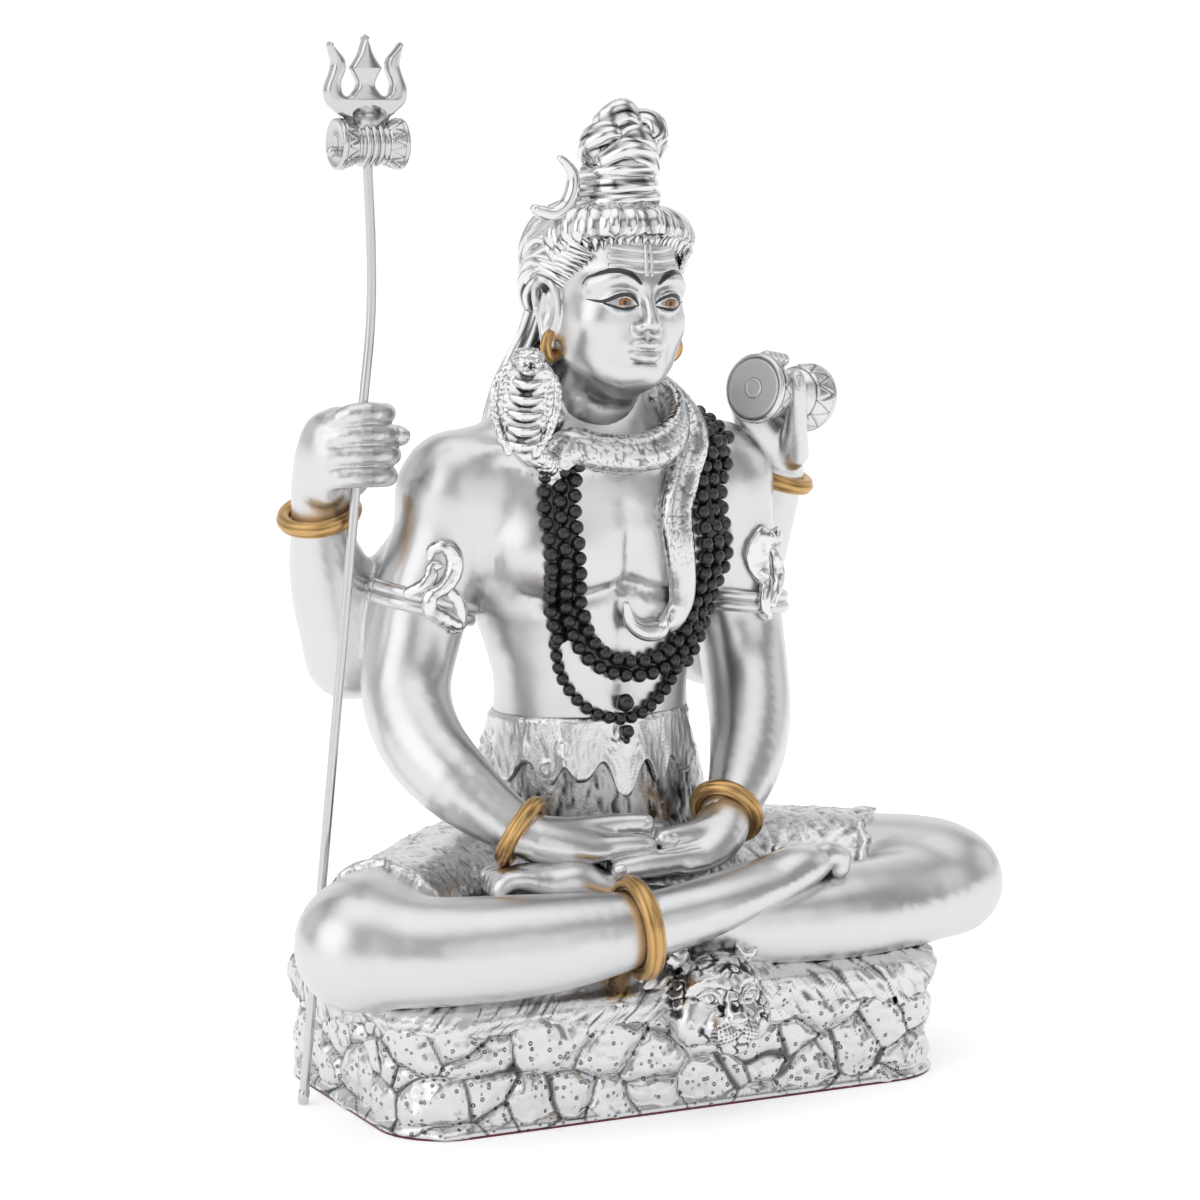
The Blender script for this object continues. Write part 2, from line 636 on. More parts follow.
def body():
    clay = Clay((-92, -34, 14), (76, 54, 164), 0.95)
    clay.limb(TRUNK, 26, blend=0)
    for hand in (-1, 1):
        clay.lump((hand * 17.5, 1.2, 111.5), (16.8, 11.6, 13.4), blend=3)  # breast
        clay.lump((hand * 15, 17, 139), (17, 9, 6.5), (0, hand * 22, 0), blend=6)  # slope of the neck
        clay.limb(sided(hand, [[5, -5, 134.5, 1.8], [20, -5.5, 136, 1.9], [34, 4, 138, 2]]), 6, blend=4)
        clay.lump((hand * 17, 29, 117), (12, 6.5, 14), blend=7)  # shoulder blade
        clay.limb(FRONT_ARMS[hand], 26, blend=4)
        clay.lump((hand * 39.5, 16, 125.5), (15.6, 14.4, 15.8), blend=5)  # shoulder
        clay.limb(REAR_UPPER_ARMS[hand], 12, blend=5)
        clay.limb(REAR_FOREARMS[hand], 14, blend=4)
    clay.limb([
        [2, 12.5, 137, 16, 14], [2, 11.4, 143, 13.6, 12.6], [2, 8.4, 149, 10.9, 10.7],
        [2, 6.2, 154, 8.6, 8.8]],
              10, blend=6)  # foot of the neck
    folds = [[[0, 123, 1], [0, 114, 1.7], [0.4, 106, 2], [0.4, 101.4, 2]]]  # the breastbone
    for hand in (-1, 1):  # and the folds under the breasts
        folds.append(sided(hand, [
            [0.6, 101.6, 2], [6, 99.8, 2.1], [13, 97.8, 2.1], [21, 97.4, 1.8], [28, 99.6, 1]]))
    for fold in folds:
        path = smooth_path(np.array(fold), 16)
        place = drape(clay, upright(path), -0.1, -30)
        clay.limb(np.column_stack([place, path[:, 2]]), len(path), blend=1.2, cut=True)
    clay.limb([[0, -8.4, 96, 1], [0, -6.6, 84, 1], [0, -5.4, 74, 1]], 5, blend=4, cut=True)
    clay.limb([[0, 38.5, 62, 2.4], [0, 38, 90, 2.8], [0, 37.5, 122, 2]], 8, blend=7, cut=True)  # spine
    clay.soften(3)
    clay.put_on_rock()
    return clay


THIGHS = {
    -1: [
        [-18, 18, 20, 20, 19], [-42, 10, 18.5, 19, 17.6], [-66, -9, 17, 18, 16.6],
        [-84, -26, 16.6, 17.4, 16.8], [-89, -31, 16.4, 15.5, 15.6]],
    1: [
        [18, 18, 19, 20, 17.5], [44, 11, 17, 19, 16.4], [70, -6, 16.5, 18, 16.2],
        [86, -20, 16.6, 17, 16.2], [91, -26, 16, 14.5, 14.4]]}
SHINS = {
    -1: [
        [-87, -31, 15, 16, 15], [-70, -41, 14.8, 15, 14], [-48, -47, 15.4, 13.4, 13.2],
        [-30, -50, 16.6, 11, 11.4], [-14, -51, 18.4, 8.4, 8.8]],
    1: [
        [91, -25, 14.5, 15, 14], [72, -34, 13.4, 14.6, 13.2], [48, -39, 13, 13.4, 12.6],
        [22, -39, 13, 11, 11], [0, -35, 15, 9, 9], [-20, -31, 19, 8, 8]]}
DEEP = (0, 1, 0)


def legs():
    sides = []
    for hand in (-1, 1):
        clay = Clay((-108, -68, -2), (110, 42, 42), 1.0)
        clay.limb(THIGHS[hand], 14, DEEP, blend=0)
        clay.limb(SHINS[hand], 16, DEEP, blend=5)
        sides.append(clay)
    clay = sides[0]
    clay.join(sides[1], 0.9)
    clay.soften(2)
    clay.put_on_rock()
    return clay


def by_side(points):
    return (points[:, 0] > 0).astype(int)


def drape(clay, points, lift=0.0, start=-70.0):
    """The points moved along +Y from in front of the clay until they are a given distance off its surface."""
    points = np.array(points, float)
    points[:, 1] = start
    for _ in range(60):
        d, _ = clay.read(points)
        points[:, 1] += np.clip(d - lift, -0.8, 4.5) * 0.9
    return points


def cling(clay, points, lift=0.0, times=4):
    """The points moved onto the clay's surface, or a little above it, and the surface's normals there."""
    points = np.array(points, float)
    for _ in range(times):
        d, slope = clay.read(points)
        points = points - slope * (d / np.maximum((slope**2).sum(1), clay.STEEP))[:, None]
    _, slope = clay.read(points)
    normals = unit(slope)
    return points + normals * lift, normals


def ribbon(clay, keys, spacing, lift, sides=10):
    """A flat strip on the clay's surface through keys [x, y, z, half width, half thickness]."""
    path = even_path(keys, spacing)
    points, normals = cling(clay, path[:, :3], lift)
    points[1:-1] = (points[:-2] + 2 * points[1:-1] + points[2:]) / 4
    way = unit(np.gradient(points, axis=0))
    return tube(points, path[:, 3:5], sides, side=np.cross(normals, way))


# The head. It is worked straight on and then turned a little to its left.

HEAD_TURN = np.array(euler((0, 2.5, 4)))
HEAD_MOVE = np.array([-2.0, 0, 158 + SEAT]) - HEAD_TURN @ np.array([0, 0, 158.0])


def on_head(points):
    return np.asarray(points, float) @ HEAD_TURN.T + HEAD_MOVE


EYE_AT = 6.8
EYE_SHAPE = (1.03, 0.985, 0.94)
UPPER_LID = [[2.3, 177.0], [4.2, 178.8], [6.8, 179.8], [9.4, 179.2], [11.8, 177.6]]
LOWER_LID = [[2.3, 177.0], [5, 176.0], [8, 175.8], [11.8, 177.4]]


def head():
    clay = Clay((-26, -30, 138), (28, 28, 208), 0.45)
    clay.limb([
        [0, -0.5, 198, 9, 10], [0, -1, 192, 15.6, 16.8], [0, -1.5, 182, 16.8, 18],
        [0, -2, 175, 16.4, 17.2], [0, -3.5, 169, 15, 15.8], [0, -6, 163, 11.8, 12.6],
        [0, -9.5, 159, 6.4, 7.4]], 20, blend=0)
    clay.lump((0, 2, 185), (17.6, 20, 17), blend=3)
    clay.limb([
        [2, 12, 142, 13, 12], [2, 8, 149, 11.6, 11.4], [2, 5, 157, 10.5, 10.8], [1, 2, 166, 10, 10.5]], 10,
        blend=3.5)
    for hand in (-1, 1):
        clay.lump((hand * 9.4, -11.4, 171.8), (6.4, 5.6, 6.6), blend=6)  # cheek
        clay.limb(sided(hand, [
            [14.2, -1, 167.6, 3], [10.6, -8.5, 162.4, 3.4], [4.5, -14.4, 159.8, 3.2]]), 8, blend=6)
        clay.limb(sided(hand, [
            [2.4, -18.6, 181.8, 1.6], [8, -18.2, 183.6, 1.8], [13.4, -13.6, 181.8, 1.6]]), 6, blend=4)
        clay.lump((hand * EYE_AT, -22.6, 178.2), (5.4, 3.2, 3.4), (0, 0, hand * 12), blend=3.6, cut=True)
        clay.lump((hand * 17.2, 0.8, 173.5), (1.8, 3.6, 7.2), (0, 0, hand * -14), blend=1)
        clay.limb(sided(hand, [
            [18.2, 0.6, 165, 1.9], [18, -1.2, 168, 1.4], [17.6, -2.8, 172.6, 0.9],
            [18.2, -3.4, 177.4, 0.9], [19, -2.2, 181.2, 1.2], [19.8, 1.4, 182.6, 1.3],
            [20.2, 4.2, 180, 1.3], [19.8, 4.4, 175.4, 1.2], [19, 2.8, 170.6, 1.1],
            [18.4, 1.4, 166.6, 1.6]]), 26, blend=0.7)
        clay.limb(sided(hand, [
            [19, 2.2, 169.6, 0.8], [19.4, 2.4, 174, 0.9], [19.3, 1.4, 178.6, 0.8]]), 10, blend=0.7)
        clay.lump((hand * 19.4, -0.4, 174.2), (1.7, 1.9, 3.2), (0, 0, hand * -14), blend=0.8, cut=True)
        clay.lump((hand * 20.3, 3.2, 177.4), (0.9, 0.7, 2.8), (0, 0, hand * -14), blend=0.5, cut=True)
    # nose
    clay.limb([
        [0, -18.2, 183, 1.9, 1.5], [0, -20.4, 177.6, 1.7, 1.8], [0, -22.3, 173.4, 2, 2]], 8, blend=1.8)
    clay.lump((0, -22.6, 171.9), (2.3, 2.2, 2), blend=1.2)
    for hand in (-1, 1):
        clay.lump((hand * 2.6, -20.4, 171), (1.7, 2.3, 1.6), blend=1)
        clay.lump((hand * 1.35, -22.2, 169.7), (0.75, 1.1, 0.7), blend=0.5, cut=True)
        eye = (hand * EYE_AT, -15.5, 178)
        clay.lump(eye, (4.6, 4.4, 4.2), blend=0.8)
        clay.limb(sided(hand, [
            [2.7, -18.5, 177.3, 0.35], [4.3, -19.7, 179, 0.6], [6.8, -20.2, 180, 0.7],
            [9.4, -19, 179.3, 0.65], [11.6, -16.3, 177.6, 0.35]]), 14, blend=0.9)
        clay.limb(sided(hand, [
            [2.7, -18.4, 177, 0.3], [5, -19.6, 176.1, 0.45], [8, -19.4, 175.9, 0.5],
            [11.4, -16.6, 177.1, 0.3]]), 12, blend=0.8)
        clay.limb(sided(hand, [
            [3.4, -19.4, 180.4, 0.25], [6.8, -20.2, 181.6, 0.3], [10.4, -18.2, 180.8, 0.25]]),
            10, blend=0.7, cut=True)
    # mouth
    clay.lump((0, -17, 166), (6.6, 3.2, 4.8), blend=3)
    clay.limb([
        [-5.8, -17.9, 165.4, 0.5], [-3, -19.8, 166.5, 1.2], [-1, -20.9, 166.8, 1.3],
        [0, -20.8, 166.4, 1.15], [1, -20.9, 166.8, 1.3], [3, -19.8, 166.5, 1.2], [5.8, -17.9, 165.4, 0.5]],
        18, blend=0.45)
    clay.limb([
        [-5.1, -18.1, 164.6, 0.6], [-2.3, -20.1, 163.4, 1.5], [2.3, -20.1, 163.4, 1.5],
        [5.1, -18.1, 164.6, 0.6]], 14, blend=0.5)
    clay.limb([
        [-6.2, -18.4, 165.4, 0.2], [-2.4, -21.2, 165.1, 0.3], [0, -21.8, 164.9, 0.3],
        [2.4, -21.2, 165.1, 0.3], [6.2, -18.4, 165.4, 0.2]], 14, blend=0.3, cut=True)
    clay.limb([[0, -20.3, 169.6, 0.45], [0, -20.5, 167.4, 0.5]], 3, blend=1, cut=True)
    clay.lump((0, -18.9, 161.8), (3.4, 1.2, 0.8), blend=1.6, cut=True)
    clay.lump((0, -15.8, 159.6), (4.4, 3.8, 3), blend=2.6)
    clay.soften(1)
    clay_pieces("head", clay, reach=2.5, place=(HEAD_TURN, HEAD_MOVE))
    return clay


def painted_face(clay):
    lines = []
    for hand in (-1, 1):
        lines.append(ribbon(clay, sided(hand, [
            [2.6, -21, 182.4, 0.35, 0.14], [5, -20, 184.5, 0.85, 0.22], [8.6, -18.4, 185.6, 0.95, 0.24],
            [12, -15.5, 184.6, 0.7, 0.2], [14.8, -12, 181.8, 0.2, 0.12]]), 0.4, 0.02))
        lines.append(ribbon(clay, sided(hand, [
            [2.3, -19, 176.9, 0.15, 0.12], [4.2, -20.2, 178.7, 0.5, 0.18], [6.8, -20.6, 179.7, 0.62, 0.2],
            [9.4, -19.6, 179.1, 0.6, 0.18], [11.8, -16.6, 177.6, 0.45, 0.16],
            [14.4, -13, 177.9, 0.12, 0.1]]), 0.4, 0.05))
        lines.append(ribbon(clay, sided(hand, [
            [2.4, -19, 176.8, 0.12, 0.1], [5, -20, 176.1, 0.38, 0.16], [8, -19.8, 175.9, 0.42, 0.16],
            [11.8, -16.8, 177.2, 0.3, 0.14]]), 0.4, 0.05))
    points, faces = gather(lines)
    make("painted_lines", on_head(points), faces, INK)
    bands = []
    for k, half in enumerate((9.4, 9.8, 9.2)):
        z = 186.3 + 2.75 * k
        bands.append(ribbon(clay, [
            [-half, -15, z + 0.3, 0.85, 0.34], [-half / 2, -19, z, 0.98, 0.4],
            [0, -20, z - 0.15, 0.98, 0.4], [half / 2, -19, z, 0.98, 0.4], [half, -15, z + 0.3, 0.85, 0.34]],
            0.5, 0.05, sides=12))
    for x in (-0.75, 0.75):
        bands.append(ribbon(clay, [
            [x, -20.5, 184.6, 0.5, 0.6], [x * 1.1, -20.5, 188.5, 0.6, 0.75], [x, -20, 193.2, 0.45, 0.6]],
            0.5, 0.1, sides=12))
    points, faces = gather(bands)
    make("forehead_lines", on_head(points), faces, SKIN)
    # each eye is the part of a cap between the lids, with a grey white, an amber iris and a pupil
    for hand, label in ((-1, "right"), (1, "left")):
        look = unit((hand * 0.05, -1, -0.1))
        angles = np.radians(np.linspace(0.3, 74, 34))
        middle = np.array([hand * EYE_AT, -15.5, 178.0])
        profile = 4.64 * np.stack([np.cos(angles), np.sin(angles)], axis=1)[::-1]
        points, faces = lathe(profile, middle, look, sides=72)
        points = middle + (points - middle) * EYE_SHAPE
        own = []
        for f in faces:
            at = points[f].mean(1)
            along = hand * at[:, 0]
            upper, lower = (
                np.interp(along, *np.transpose(lid), left=178, right=178) for lid in (UPPER_LID, LOWER_LID))
            own.append((at[:, 2] < upper) & (at[:, 2] > lower) & (at[:, 1] < -15.6))
        used, own = part_of(faces, own)
        eye = make(f"eye_{label}", on_head(points[used]), own, EYE_WHITE)
        eye.data.materials.append(EYE_AMBER)
        eye.data.materials.append(INK)
        centre = Vector(on_head([middle])[0] * MM)
        gaze = Vector(HEAD_TURN @ look)
        for face in eye.data.polygons:
            angle = math.degrees((face.center - centre).angle(gaze))
            face.material_index = 2 if angle < 8 or 18 < angle < 21.5 else 1 if angle <= 18 else 0


def hair_strand(keys, spacing=0.8, sides=16, lobes=4, depth=0.16, twist=0.05, flat=0.75, seed=0,
        side=(0, 0, 1)):
    """A lock of hair: a tapering strand whose section has lobes that wind slowly along it, and how deep each
    point lies in the grooves between them."""
    path = even_path([[*k, k[3] * flat] for k in keys], spacing)
    p, g = rounded_ends(path[:, :3], path[:, 3:5], steps=3)
    phase = 6.3 * lattice(seed, 3, 5, 1)
    wave = lambda turn, run: (
        np.cos(lobes * turn + twist * run * 6.3 / 4 + phase)
        + 0.35 * np.cos((2 * lobes + 1) * turn - twist * run * 6.3 / 2 + 2 * phase))
    points, faces = tube(p, g, sides, side=side, shape=lambda turn, run: 1 + depth * wave(turn, run))
    run = run_along(p)
    turn = turns(sides)
    groove = np.clip(-0.75 * wave(turn[None, :], run[:, None]), 0, 1)
    return points, faces, np.concatenate([groove.ravel(), [0, 0]])


def locks_piece(name, locks, place):
    points, faces = gather([lock[:2] for lock in locks])
    make(name, place(points), faces, BRIGHT,
        hollow=np.concatenate([lock[2] for lock in locks]))


KNOT = np.array([0.5, -1.0])
CROWN = np.array([0.0, 1.5, 186.5])
CROWN_SIZE = np.array([20.6, 21.6, 17.6])


def over_crown(start, end, steps, lift, wave, phase, swell=0.7):
    """Points over the crown of the head from one place to another, lifted off it and waving sideways."""
    a, b = (unit((np.asarray(p) - CROWN) / CROWN_SIZE) for p in (start, end))
    angle = math.acos(float(np.clip(a @ b, -1, 1)))
    t = np.linspace(0, 1, steps)[:, None]
    way = (np.sin((1 - t) * angle) * a + np.sin(t * angle) * b) / math.sin(angle)
    sideways = unit(np.cross(a, b))
    way = way + wave * np.sin(2 * math.pi * (1.3 * t + phase)) * np.sin(math.pi * t) * sideways
    rise = 1 + lift * np.sin(math.pi * np.clip(t * 1.15, 0, 1)) ** swell - 0.05 * (1 - t) ** 4
    return CROWN + unit(way) * rise * CROWN_SIZE


def hair():
    locks = []
    count = 24
    for k in range(count):  # combed back from the forehead to the knot
        f = (k + 0.5) / count * 2 - 1
        turn = math.radians(86 * f)
        line = 192.6 - 8.0 * abs(f) ** 2.3
        start = (16.6 * math.sin(turn), -1 - 16.6 * math.cos(turn), line)
        goal = math.radians(104 * f)
        end = (KNOT[0] + 9.5 * math.sin(goal), KNOT[1] - 9.5 * math.cos(goal), 202.5)
        path = over_crown(start, end, 9, 0.075 + 0.02 * lattice(k, 1, 1, 3), 0.007, lattice(k, 2, 2, 4), 1.25)
        width = 2.15 + 0.5 * lattice(k, 4, 4, 2)
        size = width * np.array([0.2, 0.5, 0.85, 1.15, 1.3, 1.3, 1.2, 1.0, 0.75])
        locks.append(hair_strand(np.column_stack([path, size]), 0.8, 20, 3, 0.1, 0.01, 1.0, k))
    for hand in (-1, 1):  # swept from the temples back over the ears
        for j in range(9):
            u = j / 8
            wave = 1.5 * math.sin(2.4 * j)
            keys = sided(hand, [
                [16.4 - 2.0 * u, -4.6 - 9.4 * u, 180.2 + 9.4 * u, 0.5],
                [18.2 - 0.8 * u, -2.6 - 7.4 * u, 182.4 + 9 * u, 1.5],
                [20.0 - 0.6 * u, 1 - 5 * u + 0.2 * wave, 184.4 + 8.8 * u + 0.4 * wave, 2.2],
                [20.8 - 1.1 * u, 5 - 2 * u, 183.6 + 9 * u - 0.5 * wave, 2.5],
                [19.6 - 1.3 * u, 10.5, 180.0 + 9.6 * u + 0.3 * wave, 2.5],
                [15.2 - 1.4 * u, 17, 175 + 10 * u, 2.1]])
            locks.append(hair_strand(keys, 0.8, 16, 3, 0.2, 0.06, 0.95, 40 + j, side=(0, 0, 1)))
    for k in range(18):  # down the back of the head
        f = (k + 0.5) / 18 * 2 - 1
        turn = math.radians(180 - 88 * f)
        start = (KNOT[0] + 9.5 * math.sin(turn), KNOT[1] - 9.5 * math.cos(turn), 202.5)
        end = (15.5 * f, 2 + 19.4 * math.sqrt(1 - (0.72 * f) ** 2), 173)
        path = over_crown(start, end, 9, 0.05 + 0.03 * lattice(k, 1, 9, 3), 0.018, lattice(k, 2, 7, 4))
        locks.append(hair_strand(np.column_stack([path, np.full(9, 2.6)]), 1.0, 14, 3, 0.2, 0.05, 0.8,
            80 + k))
    locks_piece("hair_combed", locks, on_head)
    # the long hair down the back
    locks = []
    for layer in range(2):
        for k in range(13):
            f = (k + 0.5 * (layer % 2)) / 12 * 2 - 1
            if abs(f) > 1.02:
                continue
            n = 13 * layer + k
            deep = 1.9 * layer - 2.6 * abs(f) ** 2
            wave = [1.3 * math.sin(6.3 * (0.3 * i + lattice(n, 5, i, 2))) for i in range(6)]
            end = 130 + 6 * lattice(n, 8, 8, 6) + 2.5 * (1 - layer)
            keys = [
                [10.5 * f, 11 + deep, 190, 1.8], [14 * f + 0.5 * wave[0], 17 + deep, 179, 2.7],
                [17.5 * f + 0.8 * wave[1], 21.4 + deep, 168, 3.1],
                [20.5 * f + wave[2], 24.6 + deep, 156, 3.1], [23 * f + wave[3], 27.6 + deep, 145, 2.9],
                [24.6 * f + wave[4], 30.4 + deep, (145 + end) / 2 - 1, 2.3],
                [24.6 * f + 1.4 * wave[5], 32.2 + deep, end, 0.9]]
            locks.append(hair_strand(keys, 1.1, 16, 4, 0.18, 0.05, 0.8, n, side=(1, 0, 0)))
    locks_piece("hair_long", locks, seat)


def topknot():
    turns, steps = 3.7, 44
    coil = []
    for k in range(steps):
        share = k / (steps - 1)
        angle = 2 * math.pi * turns * share + 0.6
        reach = 9.6 - 3.0 * share
        coil.append([
            KNOT[0] + reach * math.cos(angle), KNOT[1] + reach * math.sin(angle), 201.6 + 14.4 * share,
            3.0 + 0.3 * math.sin(5 * angle) - 0.2 * share])
    ropes = [hair_strand(coil, 0.7, 26, 4, 0.09, 0.12, 1.0, 3)]
    for n, keys in enumerate((
            [[-4.5, 3, 213.6, 2.6], [-8.2, -1, 216.2, 3.4], [-8.6, -3.4, 219.4, 3.6],
             [-5.6, -5.4, 221.4, 3.4], [-2.6, -5, 220.4, 2.6]],
            [[-3.4, 1, 220, 3], [-3, -1.6, 225, 3.9], [0.2, -2.4, 226.8, 4.0], [3.2, -2, 225, 3.2],
             [4.4, -1, 221, 2.4]],
            [[3.6, 2, 220, 3], [6.4, 0, 224.6, 3.3], [9.4, -2.4, 224.4, 3.5], [10.2, -4.6, 220.4, 3.0],
             [8.6, -5.4, 216.4, 2.4]],
            [[-6.6, -6.4, 214.4, 2.6], [-2, -9, 217, 3.4], [3.6, -8.6, 216.2, 3.3], [8, -5.6, 213, 2.6]],
            [[-3, -5.6, 219, 2.4], [1.6, -7, 221, 3.2], [5.6, -5.8, 219.4, 3.0], [7.6, -3.4, 216, 2.4]])):
        ropes.append(hair_strand(keys, 0.7, 24, 4, 0.1, 0.14, 1.0, 4 + n))
    locks_piece("topknot", ropes, on_head)
    core = even_path([
        [*KNOT, 198, 9.4, 9.4], [*KNOT, 210, 8.4, 8.4], [*KNOT, 219, 6.4, 6.4], [2, -2, 225, 3.6, 3.6]], 1.5)
    points, faces = tube(core[:, :3], core[:, 3:5], 20)
    make("topknot_core", on_head(points), faces, BRIGHT, hollow=np.full(len(points), 0.7))
    turn = np.linspace(0, 2 * math.pi, 20)
    loop = [[KNOT[0] + 10.6 * math.cos(a), KNOT[1] + 10.6 * math.sin(a), 201, 1.4] for a in turn]
    band = hair_strand(loop, 0.7, 12, 3, 0.25, 0.5, 1.0, 9)
    locks_piece("topknot_tie", [band], on_head)


CRESCENT = [
    [-26.0, -6, 202, 1.5, 1.4], [-24.2, -6, 201.2, 2.1, 1.9], [-20.8, -6, 200.6, 2.6, 2.2],
    [-17.2, -6, 202.6, 2.6, 2.2], [-15.2, -6, 206.6, 2.3, 2.0], [-15.0, -6, 210.6, 1.9, 1.7],
    [-16.6, -6, 213.4, 1.5, 1.4], [-18.6, -6, 215.2, 1.0, 1.0]]


def crescent():
    path = even_path(CRESCENT, 0.5)
    p, g = rounded_ends(path[:, :3], path[:, 3:5])
    arc = tube(p, g, 24, side=(0, 1, 0))
    root = even_path([[-17.6, -5.6, 201.5, 2.2, 2], [-13.5, -5, 202, 2.8, 2.6], [-9, -4, 203, 2.6, 2.6]], 0.6)
    points, faces = gather([arc, tube(*rounded_ends(root[:, :3], root[:, 3:5]), 20)])
    make("crescent", seat(points), faces, POLISHED)


# Hands and feet


NAIL_DOME = 0.3


def nail(at, facing, along, length, width):
    """A fingernail: a low domed plate on the flesh."""
    facing = unit(facing)
    along = unit(np.asarray(along, float) - np.dot(along, facing) * facing)
    across = np.cross(facing, along)
    rings, sides = 6, 22
    turn = turns(sides)
    points = [np.asarray(at, float) + NAIL_DOME * facing]
    for k in range(1, rings + 1):
        r = k / rings
        x = np.sign(np.cos(turn)) * np.abs(np.cos(turn)) ** 0.8 * r * length
        y = np.sign(np.sin(turn)) * np.abs(np.sin(turn)) ** 0.8 * r * width
        up = NAIL_DOME * (1 - r**5) - NAIL_DOME * (y / width) ** 2 - (0.5 if k == rings else 0)
        points.extend(at + x[:, None] * along + y[:, None] * across + up[:, None] * facing)
    ring = 1 + np.arange(sides)
    middle = np.stack([np.zeros(sides, int), ring, np.roll(ring, -1)], axis=1)
    return np.array(points), [1 + grid_faces(rings, sides)[:, [0, 3, 2, 1]], middle]


VIEWED = np.array([-0.44, -0.89, 0.13])  # towards the front right of the figure, where most nails face


def lap_hands():
    clay = Clay((-48, -46, 20), (31, -6, 50), 0.4)
    # the right one, on top
    clay.limb([
        [-41, -24.5, 41, 6.9, 6.3], [-36, -27.5, 38.6, 7.3, 6.2], [-29, -28.5, 37, 8, 5.8],
        [-21, -27.5, 36.4, 8.6, 4.6], [-17, -27, 36.2, 8, 4]], 12, (0, 1, 0.3), blend=0)
    clay.limb([
        [-37, -27, 40, 4.4], [-30, -27.4, 39.8, 4.2], [-21, -26.8, 39.9, 3.4], [-12, -27, 40.2, 3.1],
        [-5, -28.2, 40.2, 2.8]], 12, blend=1.4)
    for k in range(4):
        y = -31.6 + 4.9 * k
        reach = (0, 9.5, 7.5, 1.5)[k]
        clay.limb([
            [-24, y, 35.6, 3.3], [-14, y - 0.6, 35.6 + 0.5 * k, 3.1],
            [-8 + reach / 2, y - 0.4, 35.4 + 0.5 * k, 3.0], [-5.4 + reach, y + 0.6, 34.8 + 0.7 * k, 2.6]],
            10, blend=0.8)
    clay.limb([[-15, -31.5, 39.2, 0.4], [-8, -32, 37.6, 0.5], [-2, -31.6, 37.4, 0.5]], 6, blend=0.8, cut=True)
    # the left one, under it
    left = Clay((-48, -46, 20), (31, -6, 50), 0.4)
    left.limb([
        [25, -19.8, 40.5, 6.9, 6.3], [22, -23, 37.4, 7.4, 6.6], [16.5, -26.5, 34, 8.4, 6.2],
        [9, -28.5, 31.6, 8.8, 4.8], [4, -29, 31, 8.4, 4.2]], 12, (0, 1, 0.3), blend=0)
    left.limb([
        [22, -23, 37.5, 4.8], [16, -26.4, 36.6, 4.3], [9.5, -28.6, 36.2, 3.4], [4, -29.8, 36.1, 3.2],
        [-0.2, -30.6, 36.2, 2.8]], 12, blend=1.6)
    for k in range(4):
        y = -33.4 + 5 * k
        left.limb([
            [8, y + 1.2, 30.8, 3.9], [-1, y, 30.4, 3.7], [-9, y - 0.8, 30.2, 3.4],
            [-15.4 + 0.8 * k, y - 1, 29.8, 2.9]], 10, blend=0.8)
    left.limb([[9, -34.5, 34.4, 0.5], [2, -34.6, 33.6, 0.6], [-4, -34.8, 33.6, 0.5]], 6, blend=0.8, cut=True)
    clay.join(left, 0.5)
    clay.soften(1)
    clay.put_on_rock()
    clay_pieces("lap_hands", clay, reach=3)


def feet(legs_clay):
    clay = Clay((-56, -64, 8), (52, -18, 38), 0.48)
    # the left foot, on the right thigh, with its sole up and its toes bent over
    clay.limb([
        [-12, -34, 20, 8.6, 6.4], [-20, -32.4, 24, 8.6, 5.6], [-28, -31.4, 26.4, 9.2, 6.2],
        [-36, -30.8, 27.4, 9, 5.2], [-43, -30, 28, 8, 4.4]], 16, DEEP, blend=0)
    clay.lump((-30, -33, 29.4), (7, 6, 3.6), blend=4)
    clay.lump((-40.5, -32.6, 29.6), (5, 6, 3.2), blend=3)
    for k in range(5):
        y = -36.4 + 3.9 * k + 0.5 * (k > 0)
        size = (3.0, 2.3, 2.2, 2.1, 1.9)[k]
        clay.limb([
            [-42, y, 29.4, size], [-47, y + 0.4, 30 - 0.3 * k, size],
            [-50 + 0.9 * k, y + 1, 28.4 - 0.3 * k, size * 0.98],
            [-50.4 + 0.9 * k, y + 1.2, 25.6, size * 0.85]], 10, blend=0.7)
    # the right foot, on the left shin
    clay.limb([
        [-18, -51, 17.6, 8.6, 8.8], [-6, -51, 19.6, 8.8, 8.4], [6, -50, 22, 9.4, 7.6],
        [20, -47, 25, 9.6, 6.4], [32, -44.4, 27.4, 8.6, 5.2], [37, -42.4, 28.4, 7.6, 4.4]], 18, DEEP,
        blend=1.5)
    clay.lump((30, -47, 29.4), (8, 5.4, 4), (0, -10, 0), blend=4)
    for k in range(5):
        y = -46.6 + 4.1 * k + 0.6 * (k > 0)
        size = (3.5, 2.5, 2.4, 2.2, 2)[k]
        clay.limb([
            [35, y, 29.6, size], [40.6, y + 0.8, 31 - 0.4 * k, size],
            [44.6 - k, y + 1.6, 29.6 - 0.4 * k, size * 0.98],
            [45.4 - k, y + 2, 26.8 - 0.4 * k, size * 0.85]], 10, blend=0.8)
    clay.soften(1)
    clay.put_on_rock()
    clay_pieces("feet", clay, reach=3, within=(legs_clay,))


ROD = 1.3


def rod_path(spacing):
    """The trident's rod: straight from its foot through the fist, and bowed a little above it."""
    keys = np.array([
        [-90, 4, 0.4], [-79.85, 6.8, 88.2], [-69.7, 9.6, 176], [-65.57, 10.77, 214.25],
        [-66.3, 12.2, 261]])
    return even_path(keys, spacing)


